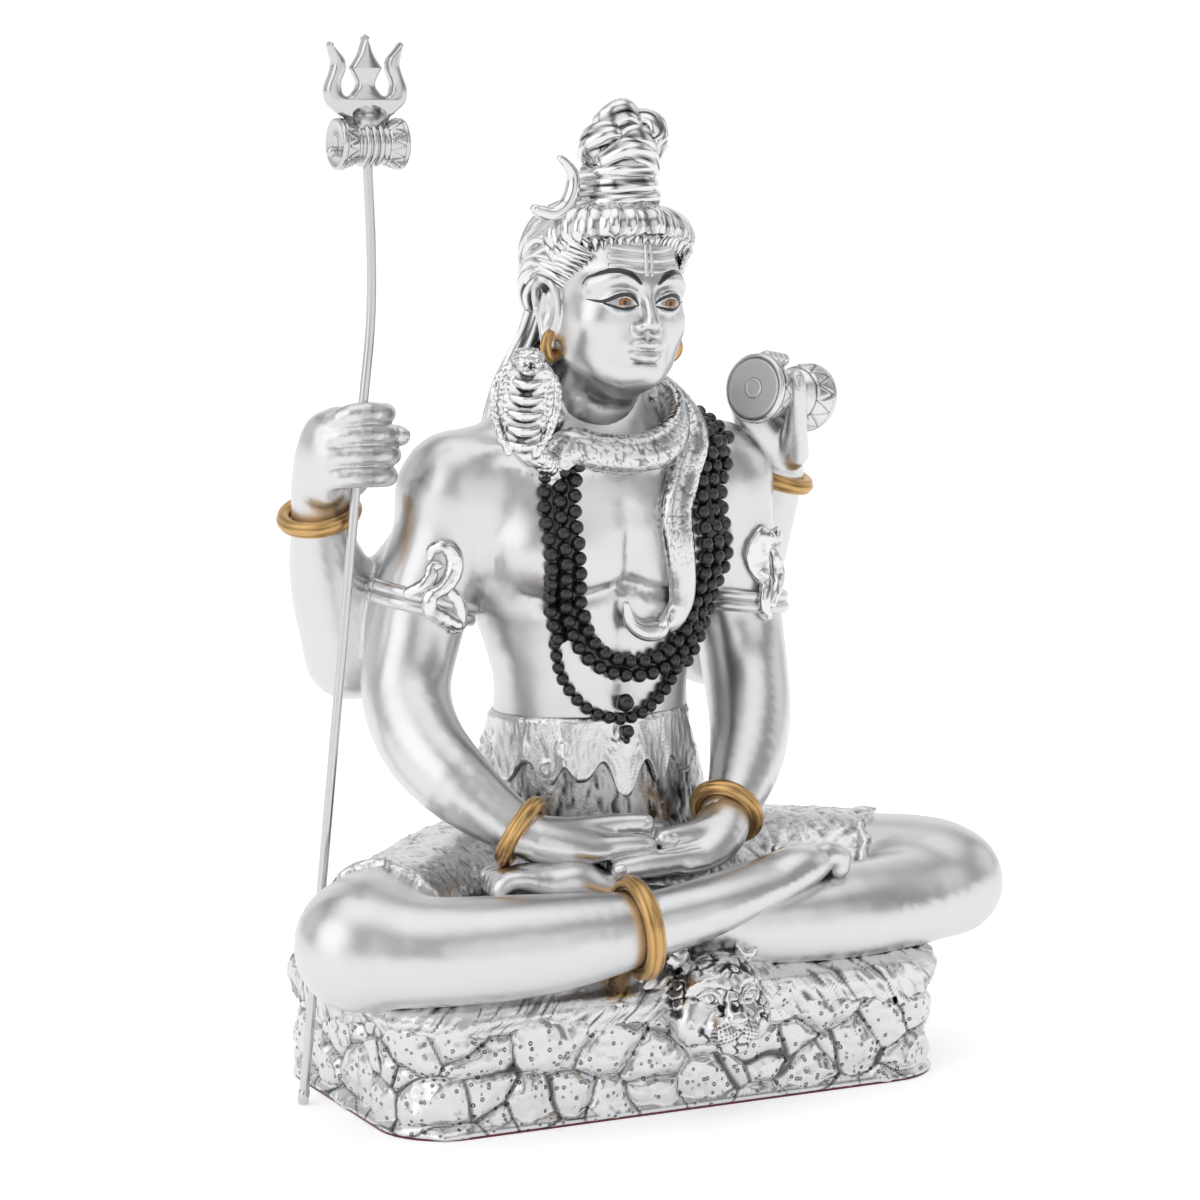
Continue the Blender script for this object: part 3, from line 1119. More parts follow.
def fist():
    clay = Clay((-92, -2, 116), (-52, 32, 160), 0.4)
    clay.limb([
        [-76.4, 22.6, 120, 7.2, 7], [-77.4, 19, 127, 7.8, 7], [-78, 14.6, 134, 8, 8],
        [-77, 12, 141, 7.6, 8], [-75.4, 9.8, 144.6, 6.4, 6.2]], 14, (0.75, -0.66, 0), blend=0)
    clay.lump((-79, 11.2, 136.5), (6.2, 8.6, 11.6), blend=3)  # back of the hand
    clay.lump((-70, 17.5, 132), (6.4, 5.4, 6.6), blend=3)  # ball of the thumb
    clay.limb([
        [-72, 19, 131, 4], [-67.4, 16.6, 136.5, 3.7], [-63.4, 12.4, 141.4, 3.2], [-60.6, 8.2, 142.8, 2.9],
        [-59.6, 6.2, 142.7, 2.6]], 12, blend=0.8)
    for k in range(4):
        height = 149.6 - 5.5 * k
        long = (0, 0.6, 1.4, 0.4)[k]
        droop = (4.5, 1.5, 0, 0)[k]
        clay.limb([
            [-82 + 0.7 * droop, 9, height - 1.6 - droop, 2.8],
            [-78.6 + 0.2 * droop, 3.4, height - 0.4 - 0.3 * droop, 3.0], [-72.6, 0.9, height, 3.0],
            [-67.2 + long, 2.4, height - 0.4, 2.9], [-63.8 + long, 6.0, height - 0.7, 2.8],
            [-63.8 + long, 10.4, height - 0.9, 2.6], [-66.8 + long, 14, height - 1, 2.4]], 16, blend=0.5)
    clay.lump((-80.2, 9.2, 138.4), (4.6, 7.2, 10.2), blend=2.6)  # knuckles
    clay.soften(1)
    rod = rod_path(4.0)
    for _ in range(2):
        clay.limb([
            [x, y, z - SEAT, ROD + 0.75] for x, y, z in rod if 112 < z - SEAT < 164], 12, blend=0.2, cut=True)
    clay.put_on_rock()
    clay_pieces("fist", clay, reach=3)


HAND_DRUM_AT = np.array([59.4, 13.5, 149.6])
HAND_DRUM_WAY = unit((-0.9, -0.44, 0.16))
HAND_DRUM_LENGTH = 28.0


def drum_hand():
    clay = Clay((44, -4, 118), (84, 36, 170), 0.42)
    clay.limb([
        [63.4, 21.6, 124, 6.8, 6.4], [63, 20.4, 129, 6.8, 6], [61.4, 19.6, 134.6, 7.4, 5.4],
        [58.2, 19.2, 139.6, 8.6, 4.8], [56, 20, 144, 9.2, 4.4], [55.6, 20.8, 148, 8.6, 3.6]], 14,
        (1, 0.1, 0), blend=0)
    clay.limb([
        [64.4, 15.4, 132.6, 4.4], [62, 10.4, 139, 3.5], [60.6, 7.2, 145, 2.9], [59.8, 5.6, 150.4, 2.7],
        [59.6, 5.6, 154.2, 2.3]], 14, blend=1.6)
    across = unit(np.cross(HAND_DRUM_WAY, (0, 0, 1)))
    for k in range(4):
        slide = 4.6 - 2.6 * k
        base = HAND_DRUM_AT + HAND_DRUM_WAY * slide

        def at(back, up, radius):
            return [*(base + across * back + (0, 0, up)), radius]

        clay.limb([
            at(6.2, -7, 2.4), at(8.2, -2, 2.4), at(7.4, 3.8, 2.3), at(4.8, 7.8, 2.2), at(1.8, 9.6, 1.9)],
            12, blend=0.5)
    clay.soften(1)
    clay.put_on_rock()
    clay_pieces("drum_hand", clay, reach=3)


def nails():
    """The nails that show: two thumbs and a fingertip in the lap, and the other two hands' thumbs."""
    made = [
        nail((-5.9, -30.6, 40.5), VIEWED + (0, 0, 0.25), (1, -0.15, 0), 2.1, 1.75),
        nail((0.9, -33.0, 36.4), VIEWED + (0.1, 0, 0.15), (-1, -0.2, 0.05), 2.1, 1.75),
        nail((-16.6, -36.9, 30.4), VIEWED + (-0.3, 0, 0), (-0.8, 0.1, -0.1), 1.8, 1.5),
        nail((59.2, 3.2, 153), VIEWED + (0, 0, 0.1), (0, 0.05, 1), 2.1, 1.6),
        nail((-59.2, 4.0, 143.4), VIEWED + (0.5, 0, 0.2), (0.7, -0.5, 0.2), 1.7, 1.5)]
    points, faces = gather(made)
    make("nails", seat(points), faces, SKIN)


# Gold


def ridged(sides=32):
    """A round section with two grooves: across, along and how deep, from 0 to 1, for each of its points."""
    section = []
    for angle in turns(sides):
        away = [math.degrees((angle - middle + math.pi) % (2 * math.pi) - math.pi) for middle in (-0.5, 0.5)]
        grooves = sum(math.exp(-((gap / 10) ** 2)) for gap in away)
        reach = 1 - 0.13 * grooves
        section.append([reach * math.cos(angle), reach * math.sin(angle), min(1, 0.8 * grooves)])
    return np.array(section)


RIDGED = ridged()


def ring(middle, axis, radius, wide, high, around=88):
    """A bangle with two grooves round its outer face: its points, its faces and how deep each point lies."""
    points, faces = torus(middle, axis, radius, RIDGED[:, :2] * (wide, high), around)
    return points, faces, np.tile(RIDGED[:, 2], around)


def on_limb(keys, share):
    """A place on a limb's path and the direction of the path there."""
    path = smooth_path(np.array(keys)[:, :3], 400)
    i = int(round(share * 400))
    return path[i], unit(path[min(i + 1, 400)] - path[i - 1])


def bangles():
    rings = []
    for keys, share, play, lean in (
            (FRONT_ARMS[-1], 0.985, 1.6, (0, 0, 0)), (FRONT_ARMS[1], 0.985, 1.6, (0, 0, 0)),
            (REAR_FOREARMS[-1], 0.99, 2.6, (0, 0.3, 0)), (REAR_FOREARMS[1], 0.985, 1.6, (0.2, 0.3, 0)),
            (SHINS[-1], 0.93, 3.0, (0, 0, 0))):
        middle, way = on_limb(keys, share)
        size = 2.25 if keys is SHINS[-1] else 2.0
        rings.append(ring(middle, way + lean, max(keys[-1][3:5]) + play, size, size * 1.12))
    hollow = np.concatenate([r[2] for r in rings])
    points, faces = gather([r[:2] for r in rings])
    make("bangles", seat(points), faces, GOLD, hollow=hollow)
    points, faces = gather([
        torus((hand * 17.6, -1, 165.2), (0.45, 0.9 * hand, 0), 3.2, 1.5 * RIDGED[:, :2], 48)
        for hand in (-1, 1)])
    make("earrings", on_head(points), faces, GOLD, hollow=np.tile(RIDGED[:, 2], 96))


ARMLET_AT = {-1: ((-50.2, 15.4, 97.0), (0.29, 0, 1)), 1: ((45.4, 15.4, 93.0), (0.1, 0, 1))}
# the serpents' strands on the front of each arm: across, height, half width, half depth, lift off the arm
ARMLET_STRANDS = {
    -1: [
        [[-52.6, 110.2, 0.8, 0.8, 0.4], [-51.7, 112.6, 1.5, 1.3, 0.8], [-48.6, 113.2, 1.9, 1.5, 1.0],
         [-46.5, 110.0, 2.0, 1.6, 1.0], [-47.2, 106.0, 1.9, 1.6, 1.2], [-50.3, 102.4, 1.8, 1.6, 2.0],
         [-53.6, 100.3, 1.8, 1.6, 2.4], [-53.8, 97.0, 1.8, 1.6, 2.2], [-50.0, 94.4, 1.9, 1.6, 1.6],
         [-46.1, 92.4, 1.8, 1.6, 2.0], [-43.6, 92.6, 1.4, 1.2, 1.6]],
        [[-58.4, 100.9, 1.4, 1.3, 1.2], [-55.6, 102.6, 1.7, 1.5, 1.4], [-53.2, 105.2, 1.6, 1.4, 1.2],
         [-52.4, 107.8, 1.4, 1.2, 1.0], [-50.6, 108.4, 1.0, 0.9, 0.8]],
        [[-50.4, 101.8, 1.2, 1.1, 1.2], [-47.6, 100.6, 1.6, 1.4, 1.4], [-45.6, 97.6, 1.7, 1.4, 1.8],
         [-44.8, 93.8, 1.5, 1.3, 2.2], [-46.2, 90.8, 1.2, 1.0, 1.2]]],
    1: [
        [[46.4, 99.6, 2.0, 1.2, 1.6], [45.4, 103.4, 3.1, 1.0, 1.2], [45.2, 107.4, 3.5, 0.9, 1.0],
         [47.4, 111.0, 3.1, 0.9, 1.2], [50.6, 111.8, 2.0, 0.9, 1.8], [52.4, 109.4, 1.3, 0.9, 1.6],
         [51.2, 107.6, 0.8, 0.7, 1.0]],
        [[45.6, 101.6, 1.4, 1.2, 1.6], [47.6, 99.2, 1.5, 1.3, 1.6], [46.4, 94.6, 1.6, 1.3, 3.0],
         [46.6, 90.6, 1.5, 1.3, 2.6], [48.6, 88.6, 1.2, 1.0, 1.2]],
        [[50.6, 107.2, 1.0, 0.9, 1.0], [52.6, 103.2, 1.6, 1.4, 1.0], [52.8, 99.2, 1.8, 1.5, 1.2],
         [50.6, 95.6, 1.6, 1.4, 2.2], [48.8, 92.4, 1.4, 1.2, 2.4]]]}


def armlets():
    """A double band about each upper arm with a coiled serpent on its front."""
    bands = []
    for hand, label in ((-1, "right"), (1, "left")):
        arm = Clay((hand * 49 - 24, -6, 78), (hand * 49 + 24, 38, 124), 0.9)
        arm.limb(FRONT_ARMS[hand], 26, blend=0)
        middle, axis = (np.array(v, float) for v in ARMLET_AT[hand])
        axis = unit(axis)
        out = outwards(axis, np.linspace(0, 2 * math.pi, 91), (0, 1, 0))
        for shift in (-1.5, 1.5):
            centre = middle + axis * shift
            points = centre + 17 * out
            for _ in range(8):  # in towards the axis until the arm is met
                d, _ = arm.read(points)
                points = points + unit(centre - points) * np.clip(d - 0.5, -3, 3)[:, None]
            bands.append(tube(points, np.full((len(points), 2), 1.75), 16, side=axis))
        strands = []
        for keys in ARMLET_STRANDS[hand]:
            keys = np.array(keys)
            place = upright(keys)
            place[:, 1] = drape(arm, place, 0.0, -20.0)[:, 1] - keys[:, 4]
            path = even_path(np.column_stack([place, keys[:, 2:4]]), 0.4)
            p, g = rounded_ends(path[:, :3], 1.2 * path[:, 3:5], steps=3)
            rib = lambda turn, run: 1 + 0.05 * np.cos(3 * turn + run * 0.5) + 0.02 * np.cos(run * 2.4)
            strands.append(tube(p, g, 20, side=(hand, 0.2, 0.1), shape=rib))
        points, faces = gather(strands)
        make(f"armlet_serpent_{label}", seat(points), faces, BRIGHT,
            hollow=0.7 * noise(points, 1.6, 5) ** 2)
    points, faces = gather(bands)
    make("armlet_bands", seat(points), faces, SKIN)


# The two drums


def triangles_band(turn, count, share):
    """Raised triangles, points up and down in turn, across a band: share runs from 0 to 1 over its width."""
    saw = np.abs(((turn * count / (2 * math.pi)) % 1.0) * 2 - 1)
    return smoothstep(0.0, 0.16, np.abs(saw - share))


def drum(length, radius, waist, middle, axis, triangles, sides):
    """A drum with two heads, a waist and lacing, and how deep each of its points lies."""
    half = length / 2
    rows = []
    for way in (-1, 1):
        end = [
            (1.0, radius * 0.2, "skin"), (1.0, radius * 0.27, "skin"), (1.008, radius * 0.29, "skin"),
            (0.99, radius * 0.33, "ring"),
            *((0.993 - 0.02 * math.sin(3.1 * k / 8), radius * (0.35 + 0.47 * k / 8), "skin")
              for k in range(9)),
            (1.0, radius * 0.86, "plain"), (1.01, radius * 0.91, "plain"), (0.98, radius * 0.985, "plain"),
            (0.94, radius, "plain"), (0.88, radius * 0.995, "plain"), (0.86, radius * 0.95, "ring"),
            *((0.84 - 0.36 * k / 12, radius * (0.955 - 0.16 * k / 12), "band") for k in range(13)),
            (0.46, radius * 0.75, "ring"), (0.43, radius * 0.79, "plain"), (0.39, radius * 0.77, "plain"),
            *((0.36 - 0.26 * k / 6, radius * 0.72 + (waist - radius * 0.72) * (k / 6) ** 0.8, "plain")
              for k in range(7))]
        rows += [(along * way * half, r, kind) for along, r, kind in end[::-way]]
    profile = [row[:2] for row in rows]
    kinds = np.array([row[2] for row in rows])
    along = np.array(profile)[:, 0] / half

    def lacing(turn, index):
        share = np.clip((0.84 - np.abs(along[index])) / 0.36, 0, 1)
        return triangles_band(turn, triangles, share)

    def relief(turn, index):
        crisp = np.where(kinds[index] == "band", 0.05 * radius * lacing(turn, index), 0.0)
        place = np.broadcast_arrays(3 * np.cos(turn), 3 * np.sin(turn), 9 * np.abs(along[index]))
        rough = 0.012 * radius * (noise(np.stack(place, axis=-1), 0.8, 3) - 0.5)
        return crisp + np.where(kinds[index] == "skin", 0, rough)

    points, faces = lathe(profile, middle, axis, sides, relief)
    turn = turns(sides)[None, :]
    index = np.arange(len(profile))[:, None]
    dark = np.where(kinds[index] == "band", 0.75 * (1 - lacing(turn, index)), 0.0)
    dark = np.where(kinds[index] == "ring", 0.7, dark)
    return points, faces, np.concatenate([dark.ravel(), [0, 0]])


# turned profiles: along and radius
BOSS = [[-0.6, 2.7], [0.2, 2.65], [0.42, 2.4], [0.3, 2.1], [0.2, 1.9], [0.3, 1.2], [0.38, 0.5]]
DRUM_SKIN = [[-0.6, 8.2], [-0.05, 8.1], [0.0, 7.6], [-0.08, 6.4], [-0.04, 4.6], [0.02, 3.2]]
KNOB = [[-1.4, 0.9], [-0.9, 1.3], [0, 1.5], [0.9, 1.25], [1.5, 0.6]]
HOOP = [[-0.75, 5.0], [-0.6, 5.8], [0, 6.1], [0.6, 5.8], [0.75, 5.0]]
ROD_FOOT = [[0, 1.3], [0.4, 1.5], [3.4, 1.5], [3.8, 1.3]]


def hand_drum():
    middle, way = seat(HAND_DRUM_AT), HAND_DRUM_WAY
    points, faces, dark = drum(HAND_DRUM_LENGTH, 9.7, 4.8, middle, way, 11, 132)
    make("hand_drum", points, faces, CARVED, hollow=dark)
    for name, profile, sides, dark, grain, seed in (
            ("hand_drum_bosses", BOSS, 40, 0.5, 1.0, 8), ("hand_drum_skins", DRUM_SKIN, 60, 0.3, 4.0, 9)):
        points, faces = gather([
            lathe(profile, middle + way * (HAND_DRUM_LENGTH / 2) * end, way * end, sides) for end in (-1, 1)])
        make(name, points, faces, DRUMHEAD, hollow=dark * noise(points, grain, seed))


# The trident

TRIDENT_FOOT = np.array([-66.3, 12.2, 261.0])
TRIDENT_HALF = 11.6
TRIDENT_TALL = 20.3
TRIDENT_THICK = 4.2
PRONG_OUTER = [
    [0.3, -0.1], [0.6, -0.04], [0.75, 0.02], [0.94, 0.12], [1, 0.25], [0.97, 0.36], [0.86, 0.52],
    [0.82, 0.64], [0.9, 0.84], [0.87, 0.915]]
PRONG_INNER = [
    [0.84, 0.905], [0.68, 0.8], [0.52, 0.69], [0.49, 0.58], [0.52, 0.5], [0.59, 0.41], [0.6, 0.33],
    [0.56, 0.25], [0.47, 0.22], [0.38, 0.23]]
LEAF = [[0.35, 0.245], [0.22, 0.37], [0.385, 0.575], [0.28, 0.66], [0.165, 0.77], [0.095, 0.89], [0, 1]]


def trident_plate():
    """The head's outline, extruded in steps that round its edges over."""
    half = np.concatenate([
        smooth_path(PRONG_OUTER, 54)[:-1], smooth_path(PRONG_INNER, 54)[:-1], smooth_path(LEAF[:3], 16)[:-1],
        smooth_path(LEAF[2:], 24)])
    right = half * (TRIDENT_HALF, TRIDENT_TALL)
    left = right[:-1][::-1] * (-1, 1)
    outline = np.concatenate([right, left])
    way = unit(np.roll(outline, -1, 0) - np.roll(outline, 1, 0))
    inward = np.stack([-way[:, 1], way[:, 0]], axis=1)
    rings = []
    for depth, inset in (
            (-1, 0.95), (-0.86, 0.55), (-0.62, 0.22), (-0.3, 0.05), (0, 0), (0.3, 0.05), (0.62, 0.22),
            (0.86, 0.55), (1, 0.95)):
        x, z = (outline + inward * inset).T
        rings.append(np.column_stack([x, np.full(len(outline), depth * TRIDENT_THICK / 2), z]))
    points = np.concatenate(rings)
    count = len(outline)
    quads = grid_faces(len(rings), count)
    flat = [Vector((p[0], p[2], 0)) for p in rings[0]]
    cap = np.array(tessellate_polygon([flat]))
    a, b, c = (rings[0][cap[0, k]] for k in range(3))
    if np.cross(b - a, c - a)[1] > 0:
        cap = cap[:, ::-1]
    back = cap[:, ::-1] + (len(rings) - 1) * count
    return points + TRIDENT_FOOT, [quads[:, ::-1], cap, back]


def trident():
    path = rod_path(2.0)
    rod = tube(path, np.full((len(path), 2), ROD), 28, side=(0, 1, 0))
    plate = trident_plate()
    drum_at = TRIDENT_FOOT + (0.8, 0, -8.0)
    small, small_faces, dark = drum(18.8, 6.8, 5.2, drum_at, (-1, 0, 0), 12, 108)
    knob = lathe(KNOB, drum_at + (-10.2, 0, -2), (-1, 0, 0), 24)
    rings = [lathe(HOOP, drum_at + (1.9 * k, 0, 0), (-1, 0, 0), 72) for k in (-1, 0, 1)]
    boss = Clay((-8, -6, -6), (8, 6, 6), 0.5)
    boss.lump((0, 0, 0), (5.6, 3.6, 4.4), blend=0)
    boss.lump((0, 0, 2), (7.4, 2.6, 2.4), blend=1.5)
    boss_points, boss_faces, boss_normals = boss.skin()
    boss_points = boss_points + boss_normals * (0.45 * (noise(boss_points, 1.3, 4) - 0.5))[:, None]
    boss_points = boss_points + TRIDENT_FOOT + (0.4, 0, -2)
    foot = lathe(ROD_FOOT, path[0], (0.11, 0.03, 0.99), 28)
    parts = [rod, plate, (small, small_faces), knob, *rings, (boss_points, boss_faces), foot]
    points, faces = gather(parts)
    hollow = np.zeros(len(points))
    start = len(rod[0]) + len(plate[0])
    hollow[start:start + len(small)] = dark
    start += len(small) + len(knob[0]) + sum(len(r[0]) for r in rings)
    hollow[start:start + len(boss_points)] = 0.9 * noise(boss_points, 1.1, 4)
    piece = make("trident_cast", points, faces, STEEL, hollow=hollow)
    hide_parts("trident")


# The cobra

SNAKE_TURN = [
    [-22, -3, 132, 1], [-17, -8, 139, 1], [-9, -10, 137.6, 1], [0, -11.5, 137, 1], [9, -10.5, 138.6, 1],
    [16.5, -5, 143, 1], [18, 5, 150, 0.95], [10, 15, 156, 0.95], [-6, 17.5, 157, 0.95], [-17, 8, 151, 0.9],
    [-18, 0, 145, 0.8]]
SNAKE_TAIL = [
    [4, 16, 158, 0.9], [14.5, 10, 155, 0.95], [20.5, 2, 148, 0.95], [20.8, -6, 139.5, 0.95],
    [17, -11.5, 130, 0.95], [13.5, -13.6, 121, 0.92], [14, -14, 110, 0.9], [16, -11, 101, 0.85],
    [16.4, -9, 95, 0.78], [13, -9, 90.4, 0.7], [6, -9.5, 88.6, 0.56], [0.8, -9.5, 91.4, 0.4],
    [-1.4, -9.5, 96.6, 0.2]]
SCALE = 2.0  # the length of a scale
SCALES_ROUND = 12  # and how many go round the snake


def scales(turn, run):
    """Uneven pebbly scales: 1 in the middle of a scale, 0 in the grooves between."""
    reach = SCALES_ROUND / (2 * math.pi)
    at = np.broadcast_arrays(reach * np.cos(turn), reach * np.sin(turn), run / SCALE)
    near, second, _ = cells(np.stack(at, axis=-1), 1.0, 17, 0.75)
    return smoothstep(0.02, 0.17, second - near)


def snake_body(keys, wide, deep, side, smooth_from=2.0):
    """A length of the snake, with scales and low ridges. The scales fade from a share of its length on."""
    path = even_path(np.column_stack([keys, keys[:, 3]]), 0.5)
    p, g = rounded_ends(path[:, :3], np.column_stack([path[:, 3] * wide, path[:, 3] * deep]), steps=6)
    run_of = run_along(p)
    length = run_of[-1]

    def scaly(run):
        return 0.25 + 0.75 * (1 - smoothstep(smooth_from, smooth_from + 0.15, run / length))

    def shape(turn, run):
        rib = 0.035 * np.cos(2 * turn) + 0.04 * np.abs(np.cos(3 * turn))
        rib = rib - 0.03 * np.exp(-((np.sin(turn) / 0.16) ** 2))
        raised = 0.06 * (scales(turn, run) - 0.4) * scaly(run) * (0.6 + 0.4 * np.sin(turn * 2 + 1))
        return 1 + rib + raised

    sides = 48
    points, faces = tube(p, g, sides, side=side, shape=shape)
    turn = turns(sides)[None, :]
    run = run_of[:, None]
    dark = scaly(run) * 0.6 * (1 - scales(turn, run)) + 0.45 * np.exp(-((np.sin(turn) / 0.12) ** 2))
    return points, faces, np.concatenate([dark.ravel(), [0, 0]])


def snake(clay):
    turn = np.array(SNAKE_TURN, float)
    tail = np.array(SNAKE_TAIL, float)
    on_breast = np.arange(4, len(tail))
    front = drape(clay, seat(tail[on_breast, :3]), 2.2)
    tail[on_breast, 1] = front[:, 1] + 0.4
    made = [
        snake_body(turn, 4.9, 3.9, (0.1, 0.2, 1)),
        snake_body(tail, 4.8, 3.6, (0.9, 0.2, 0.3), smooth_from=0.58)]
    points, faces = gather([m[:2] for m in made])
    make("snake_body", seat(points), faces, CARVED, hollow=np.concatenate([m[2] for m in made]))


HOOD_TURN = np.array(euler((0, 4, -22)))
HOOD_AT = np.array([-31.6, -11.2, 150.4])
HOOD_SIZE = 0.82


def hood():
    """The raised hood and the head on top of it, worked facing -Y and then turned to the viewer."""
    clay = Clay((-13, -11, -23), (15, 12, 25), 0.45)
    clay.limb([
        [8.4, 7, -18.6, 4.8, 4.2], [4.8, 3, -16, 4.8, 4.2], [1.6, 1.2, -12, 5.6, 4], [0, 0, -7, 8, 3.6],
        [0, -0.2, 0, 10.4, 3.2], [0, 0, 7, 10.2, 3.2], [0, 0.6, 12, 7, 3.4]], 16, blend=0)
    clay.lump((0, -4.6, -3), (6.6, 2.6, 13.5), blend=2.5, cut=True)
    for k in range(5):  # plates down the front
        z = -12.4 + 5.0 * k
        wide = 5.4 * math.sqrt(max(0.1, 1 - ((z + 2) / 15) ** 2))
        clay.limb([
            [-wide, -2.8, z + 0.8, 0.7, 1.2], [0, -4.4, z - 0.6, 1.2, 2.3],
            [wide, -2.8, z + 0.8, 0.7, 1.2]], 10, blend=0.5)
    for hand in (-1, 1):  # rolled rim
        clay.limb(sided(hand, [
            [4.4, -2.6, -14.5, 1.3], [8.2, -2.6, -7, 1.4], [10.0, -2.2, 0.5, 1.4], [9.6, -1.8, 8, 1.4],
            [5.8, -1.6, 13, 1.5]]), 14, blend=1)
        clay.limb(sided(hand, [
            [4.6, -3.8, 16.4, 0.9], [3.2, -8, 15.6, 0.7], [0, -9.4, 14.8, 0.6]]), 8, blend=1)
    # the head
    clay.limb([
        [0, 2, 12, 5, 4.4], [0, -1, 14.6, 5.4, 4.2], [0, -5, 14.4, 4.6, 3.2], [0, -8.4, 13, 3.2, 2.2]], 12,
        blend=2)
    clay.lump((0, -1.5, 17.2), (4.6, 4.6, 2.2), blend=1.6)
    for hand in (-1, 1):
        clay.lump((hand * 3.5, -5.4, 16.1), (1.5, 1.7, 1.3), blend=0.6)
        clay.lump((hand * 4.0, -5.8, 16.3), (0.55, 0.6, 0.5), blend=0.2, cut=True)
        clay.lump((hand * 1.2, -9.6, 14), (0.5, 0.8, 0.4), blend=0.3, cut=True)
        clay.limb(sided(hand, [
            [3.8, -4, 12.3, 0.35], [2.6, -8.4, 12, 0.35], [0, -10.4, 12, 0.3]]), 8, blend=0.4, cut=True)
    clay.soften(1)
    points, faces, normals = clay.skin()
    hollow = shut_in(clay, points, normals, 2.2)
    x, y, z = points.T
    outside = smoothstep(4.6, 6.2, np.abs(x)) + smoothstep(11, 13, z) + (normals[:, 1] > 0.1)
    near, second, _ = cells(np.stack([x, 0.5 * y, 0.9 * z], axis=1), 1.75, 6, 0.45)
    lift = np.clip(outside, 0, 1) * 0.34 * (smoothstep(0.02, 0.3, second - near) - 0.6)
    points = points + normals * lift[:, None]
    hollow = np.clip(0.7 * hollow + 3.0 * np.clip(-lift - 0.05, 0, 0.2), 0, 0.85)
    points = seat(HOOD_SIZE * points @ HOOD_TURN.T + HOOD_AT)
    make("snake_hood", points, faces, BRIGHT, hollow=hollow)


# The black beads

MALA = [
    [-18.5, 136], [-20.5, 121], [-19.6, 107], [-17, 94], [-13, 84.5], [-6, 78.5], [4, 76.4], [14, 78.4],
    [22.5, 84.5], [26.4, 94], [27, 105], [26, 117], [27.5, 128], [32, 136.5]]
BEAD = 4.05
LOWER_PITCH = 3.35
LOWER = [
    [-19.4, 86], [-17.6, 78], [-14.4, 72], [-10, 67.6], [-5, 65.6], [-0.6, 65], [4, 65.8], [9, 68.4],
    [14, 72.4], [20, 79.5]]


def bead(at, normal, radius, seed):
    """One moulded bead: round, with five faint lobes, leaning a little to a side of its own."""
    sides, rings = 14, 9
    turn = turns(sides)
    tilt = np.linspace(0.12, math.pi - 0.12, rings)
    lean = np.array([lattice(seed, 1, 1, 9) - 0.5, 0, lattice(seed, 2, 1, 9) - 0.5])
    axis = unit(np.asarray(normal) + 0.35 * lean)
    r = radius * (1 + 0.035 * np.cos(5 * turn[None, :] + seed) * np.sin(tilt[:, None]) ** 2)
    ball = (
        np.cos(tilt)[:, None, None] * axis * radius
        + (r * np.sin(tilt)[:, None])[..., None]
        * outwards(axis, turn, (0.2, 0.3, 0.9))[None])
    points = np.concatenate([ball.reshape(-1, 3), [axis * radius, -axis * radius]]) + at
    ends = [fan[:, [0, 2, 1]] for fan in fans(sides * rings, sides, rings)]
    return points, [grid_faces(rings, sides)[:, ::-1], *ends]


def outer_shows(points):
    """Whether the outer string is there. It isn't along the loop's bottom and the figure's lower right."""
    return (points[:, 2] > 86) | (points[:, 0] > 19)


